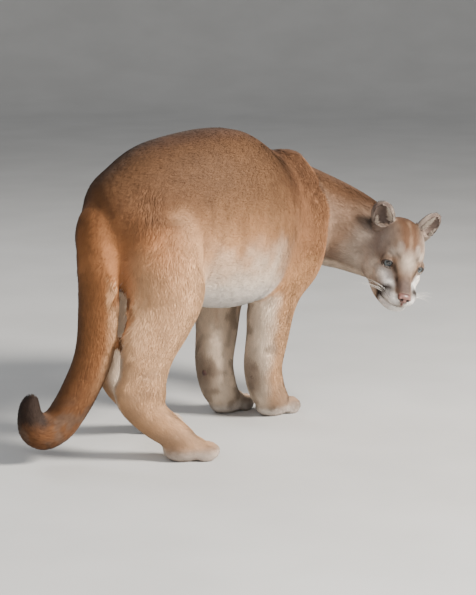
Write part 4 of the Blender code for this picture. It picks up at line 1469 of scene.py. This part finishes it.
def add_ear(body, side, matrix):
    """Joins an ear, cut hollow, to the skin."""
    ear = object_of("ear", [ear_shell()])
    carve(ear, [ear_cup()])
    set_positions(ear.data, positions(ear.data) - normals_of(ear.data) * 0.0012)
    ear.data.transform(ear_frame(side, matrix))
    whole = bmesh.new()
    whole.from_mesh(body.data)
    whole.from_mesh(ear.data)
    whole.to_mesh(body.data)
    whole.free()
    bpy.data.objects.remove(ear, do_unlink=True)


def build_skin(matrix, samples):
    """One closed surface over all flesh, inside the coat's outer face by the coat's depth, and two ears."""
    body = object_of("skin", flesh_masses(matrix))
    set_positions(body.data, swell(positions(body.data)))
    fuse(body, SKIN_VOXEL * (1))
    set_positions(body.data, ease_skin(body.data, swell(positions(body.data), back=True), matrix))
    carve(body, moved([lid_opening(s) for s in (-1, 1)], matrix))
    carve(body, moved([ball(eye_centre(s), (EYE_RADIUS + 0.0004,) * 3) for s in (-1, 1)], matrix))
    for s in (-1, 1):
        carve(body, moved([mouth_line(s)], matrix))
    points = positions(body.data)
    _, _, fact = read_lie(points, samples)
    local = into(points, matrix.inverted())
    gap = np.minimum(*[np.linalg.norm(local - np.array(eye_centre(s)), axis=1) for s in (-1, 1)])
    points -= normals_of(body.data) * fact[:, :1] * 0.9 * smooth(0.0155, 0.0215, gap)[:, None]
    points[:, 2] = np.maximum(points[:, 2], 0.0)
    set_positions(body.data, points)
    for s in (-1, 1):
        add_ear(body, s, matrix)
    triangulate = body.modifiers.new("Triangles", "TRIANGULATE")
    triangulate.keep_custom_normals = False
    bake_modifiers(body)
    body.data.shade_smooth()
    return body


def main():
    matrix = head_matrix()
    eye_low, eye_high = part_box("eye_left")
    shift = (eye_low + eye_high) / 2 - matrix @ eye_centre(1)
    place = Matrix.Translation(shift)
    samples = lie_samples(matrix)
    skin = build_skin(matrix, samples)
    points, normals = positions(skin.data), normals_of(skin.data)
    group = read_lie(points, samples)[0]
    colour_attribute(skin.data, "coat", skin_colours(points, normals, group, matrix.inverted()))
    one_material(skin.data)
    grow_coat(skin, samples, matrix.inverted(), place)
    mesh = skin.data
    tree = BVHTree.FromPolygons([v.co for v in mesh.vertices], [p.vertices[:] for p in mesh.polygons])
    leather = simple_material("dark_skin", linear(40, 31, 28), linear(58, 44, 39), 180, 0.42, 0.4)
    build_eyes(matrix, place)
    build_lids(tree, matrix, place, leather)
    build_nose(matrix, place)
    build_whiskers(tree, matrix, place)
    pad_skin = simple_material("pad_skin", linear(96, 66, 60), linear(70, 50, 46), 160, 0.6, 0.6)
    build_wrist_pads(place, pad_skin)
    build_ear_hair(matrix, place)
    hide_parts(*[n for n in frame["nodes"] if not n.startswith(("eye", "nose"))])
    settle(skin, place, fur_material("skin_fur", 0.5))
    stage(shift)


# The stage

def area_light(name, place, target, size, power, colour):
    lamp = bpy.data.lights.new(name, "AREA")
    lamp.shape = "DISK"
    lamp.size = size
    lamp.energy = power
    lamp.color = colour
    obj = linked(name, lamp)
    obj.location = place
    obj.rotation_mode = "QUATERNION"
    obj.rotation_quaternion = (Vector(target) - Vector(place)).to_track_quat("-Z", "Y")


def bowl(radius, rim, sides=96, steps=16):
    """A round floor whose edge curves up into a low wall."""
    rings = []
    for k in range(steps, -1, -1):
        angle = math.pi / 2 * k / steps
        reach, height = radius + rim * math.sin(angle), rim * (1 - math.cos(angle))
        rings.append([(reach * math.cos(t), reach * math.sin(t), height) for t in turns(sides)])
    return shell(rings, capped=(-1,))


def add_camera(shift):
    """The camera that the photograph is matched with."""
    forward = Vector((math.cos(CAMERA_HEADING), math.sin(CAMERA_HEADING), 0))
    across = Vector((math.sin(CAMERA_HEADING), -math.cos(CAMERA_HEADING), 0))
    pitch = math.atan(HORIZON / FOCAL)
    look = forward * math.cos(pitch) - Vector(UP) * math.sin(pitch)
    above = forward * math.sin(pitch) + Vector(UP) * math.cos(pitch)
    data = bpy.data.cameras.new("camera")
    data.sensor_fit = "VERTICAL"
    data.sensor_height = SENSOR
    data.sensor_width = SENSOR * PICTURE_WIDTH / PICTURE_HEIGHT
    data.lens = SENSOR * FOCAL / PICTURE_HEIGHT
    camera = linked("camera", data)
    turn = Matrix((across, above, -look)).transposed().to_4x4()
    camera.matrix_world = Matrix.Translation(Vector(CAMERA_PLACE) + shift) @ turn
    bpy.context.scene.camera = camera


def stage(shift):
    floor = object_of("floor", [bowl(FLOOR_RADIUS, FLOOR_RIM)])
    floor.data.shade_smooth()
    pale = simple_material("floor", (0.54, 0.535, 0.52), (0.58, 0.575, 0.56), 3, 0.8, 0.05)
    floor.data.materials.append(pale)
    centre = Vector((0.36, -0.06, 0.35)) + shift
    for name, place, size, power, colour in (
        ("key", (0.5, -3.9, 2.3), 1.3, 620, (1.0, 0.95, 0.88)),
        ("fill", (-3.2, -1.6, 1.8), 2.6, 58, (0.95, 0.97, 1.0)),
        ("rim", (0.6, 3.2, 2.6), 2.0, 45, (1, 1, 1)),
    ):
        area_light(name, centre + Vector(place), centre, size, power, colour)
    world = bpy.data.worlds.new("studio")
    world.use_nodes = True
    sky = {"Color": (0.80, 0.84, 0.90, 1), "Strength": 0.30}
    fill(world.node_tree, world.node_tree.nodes["Background"], sky)
    bpy.context.scene.world = world
    add_camera(shift)


main()
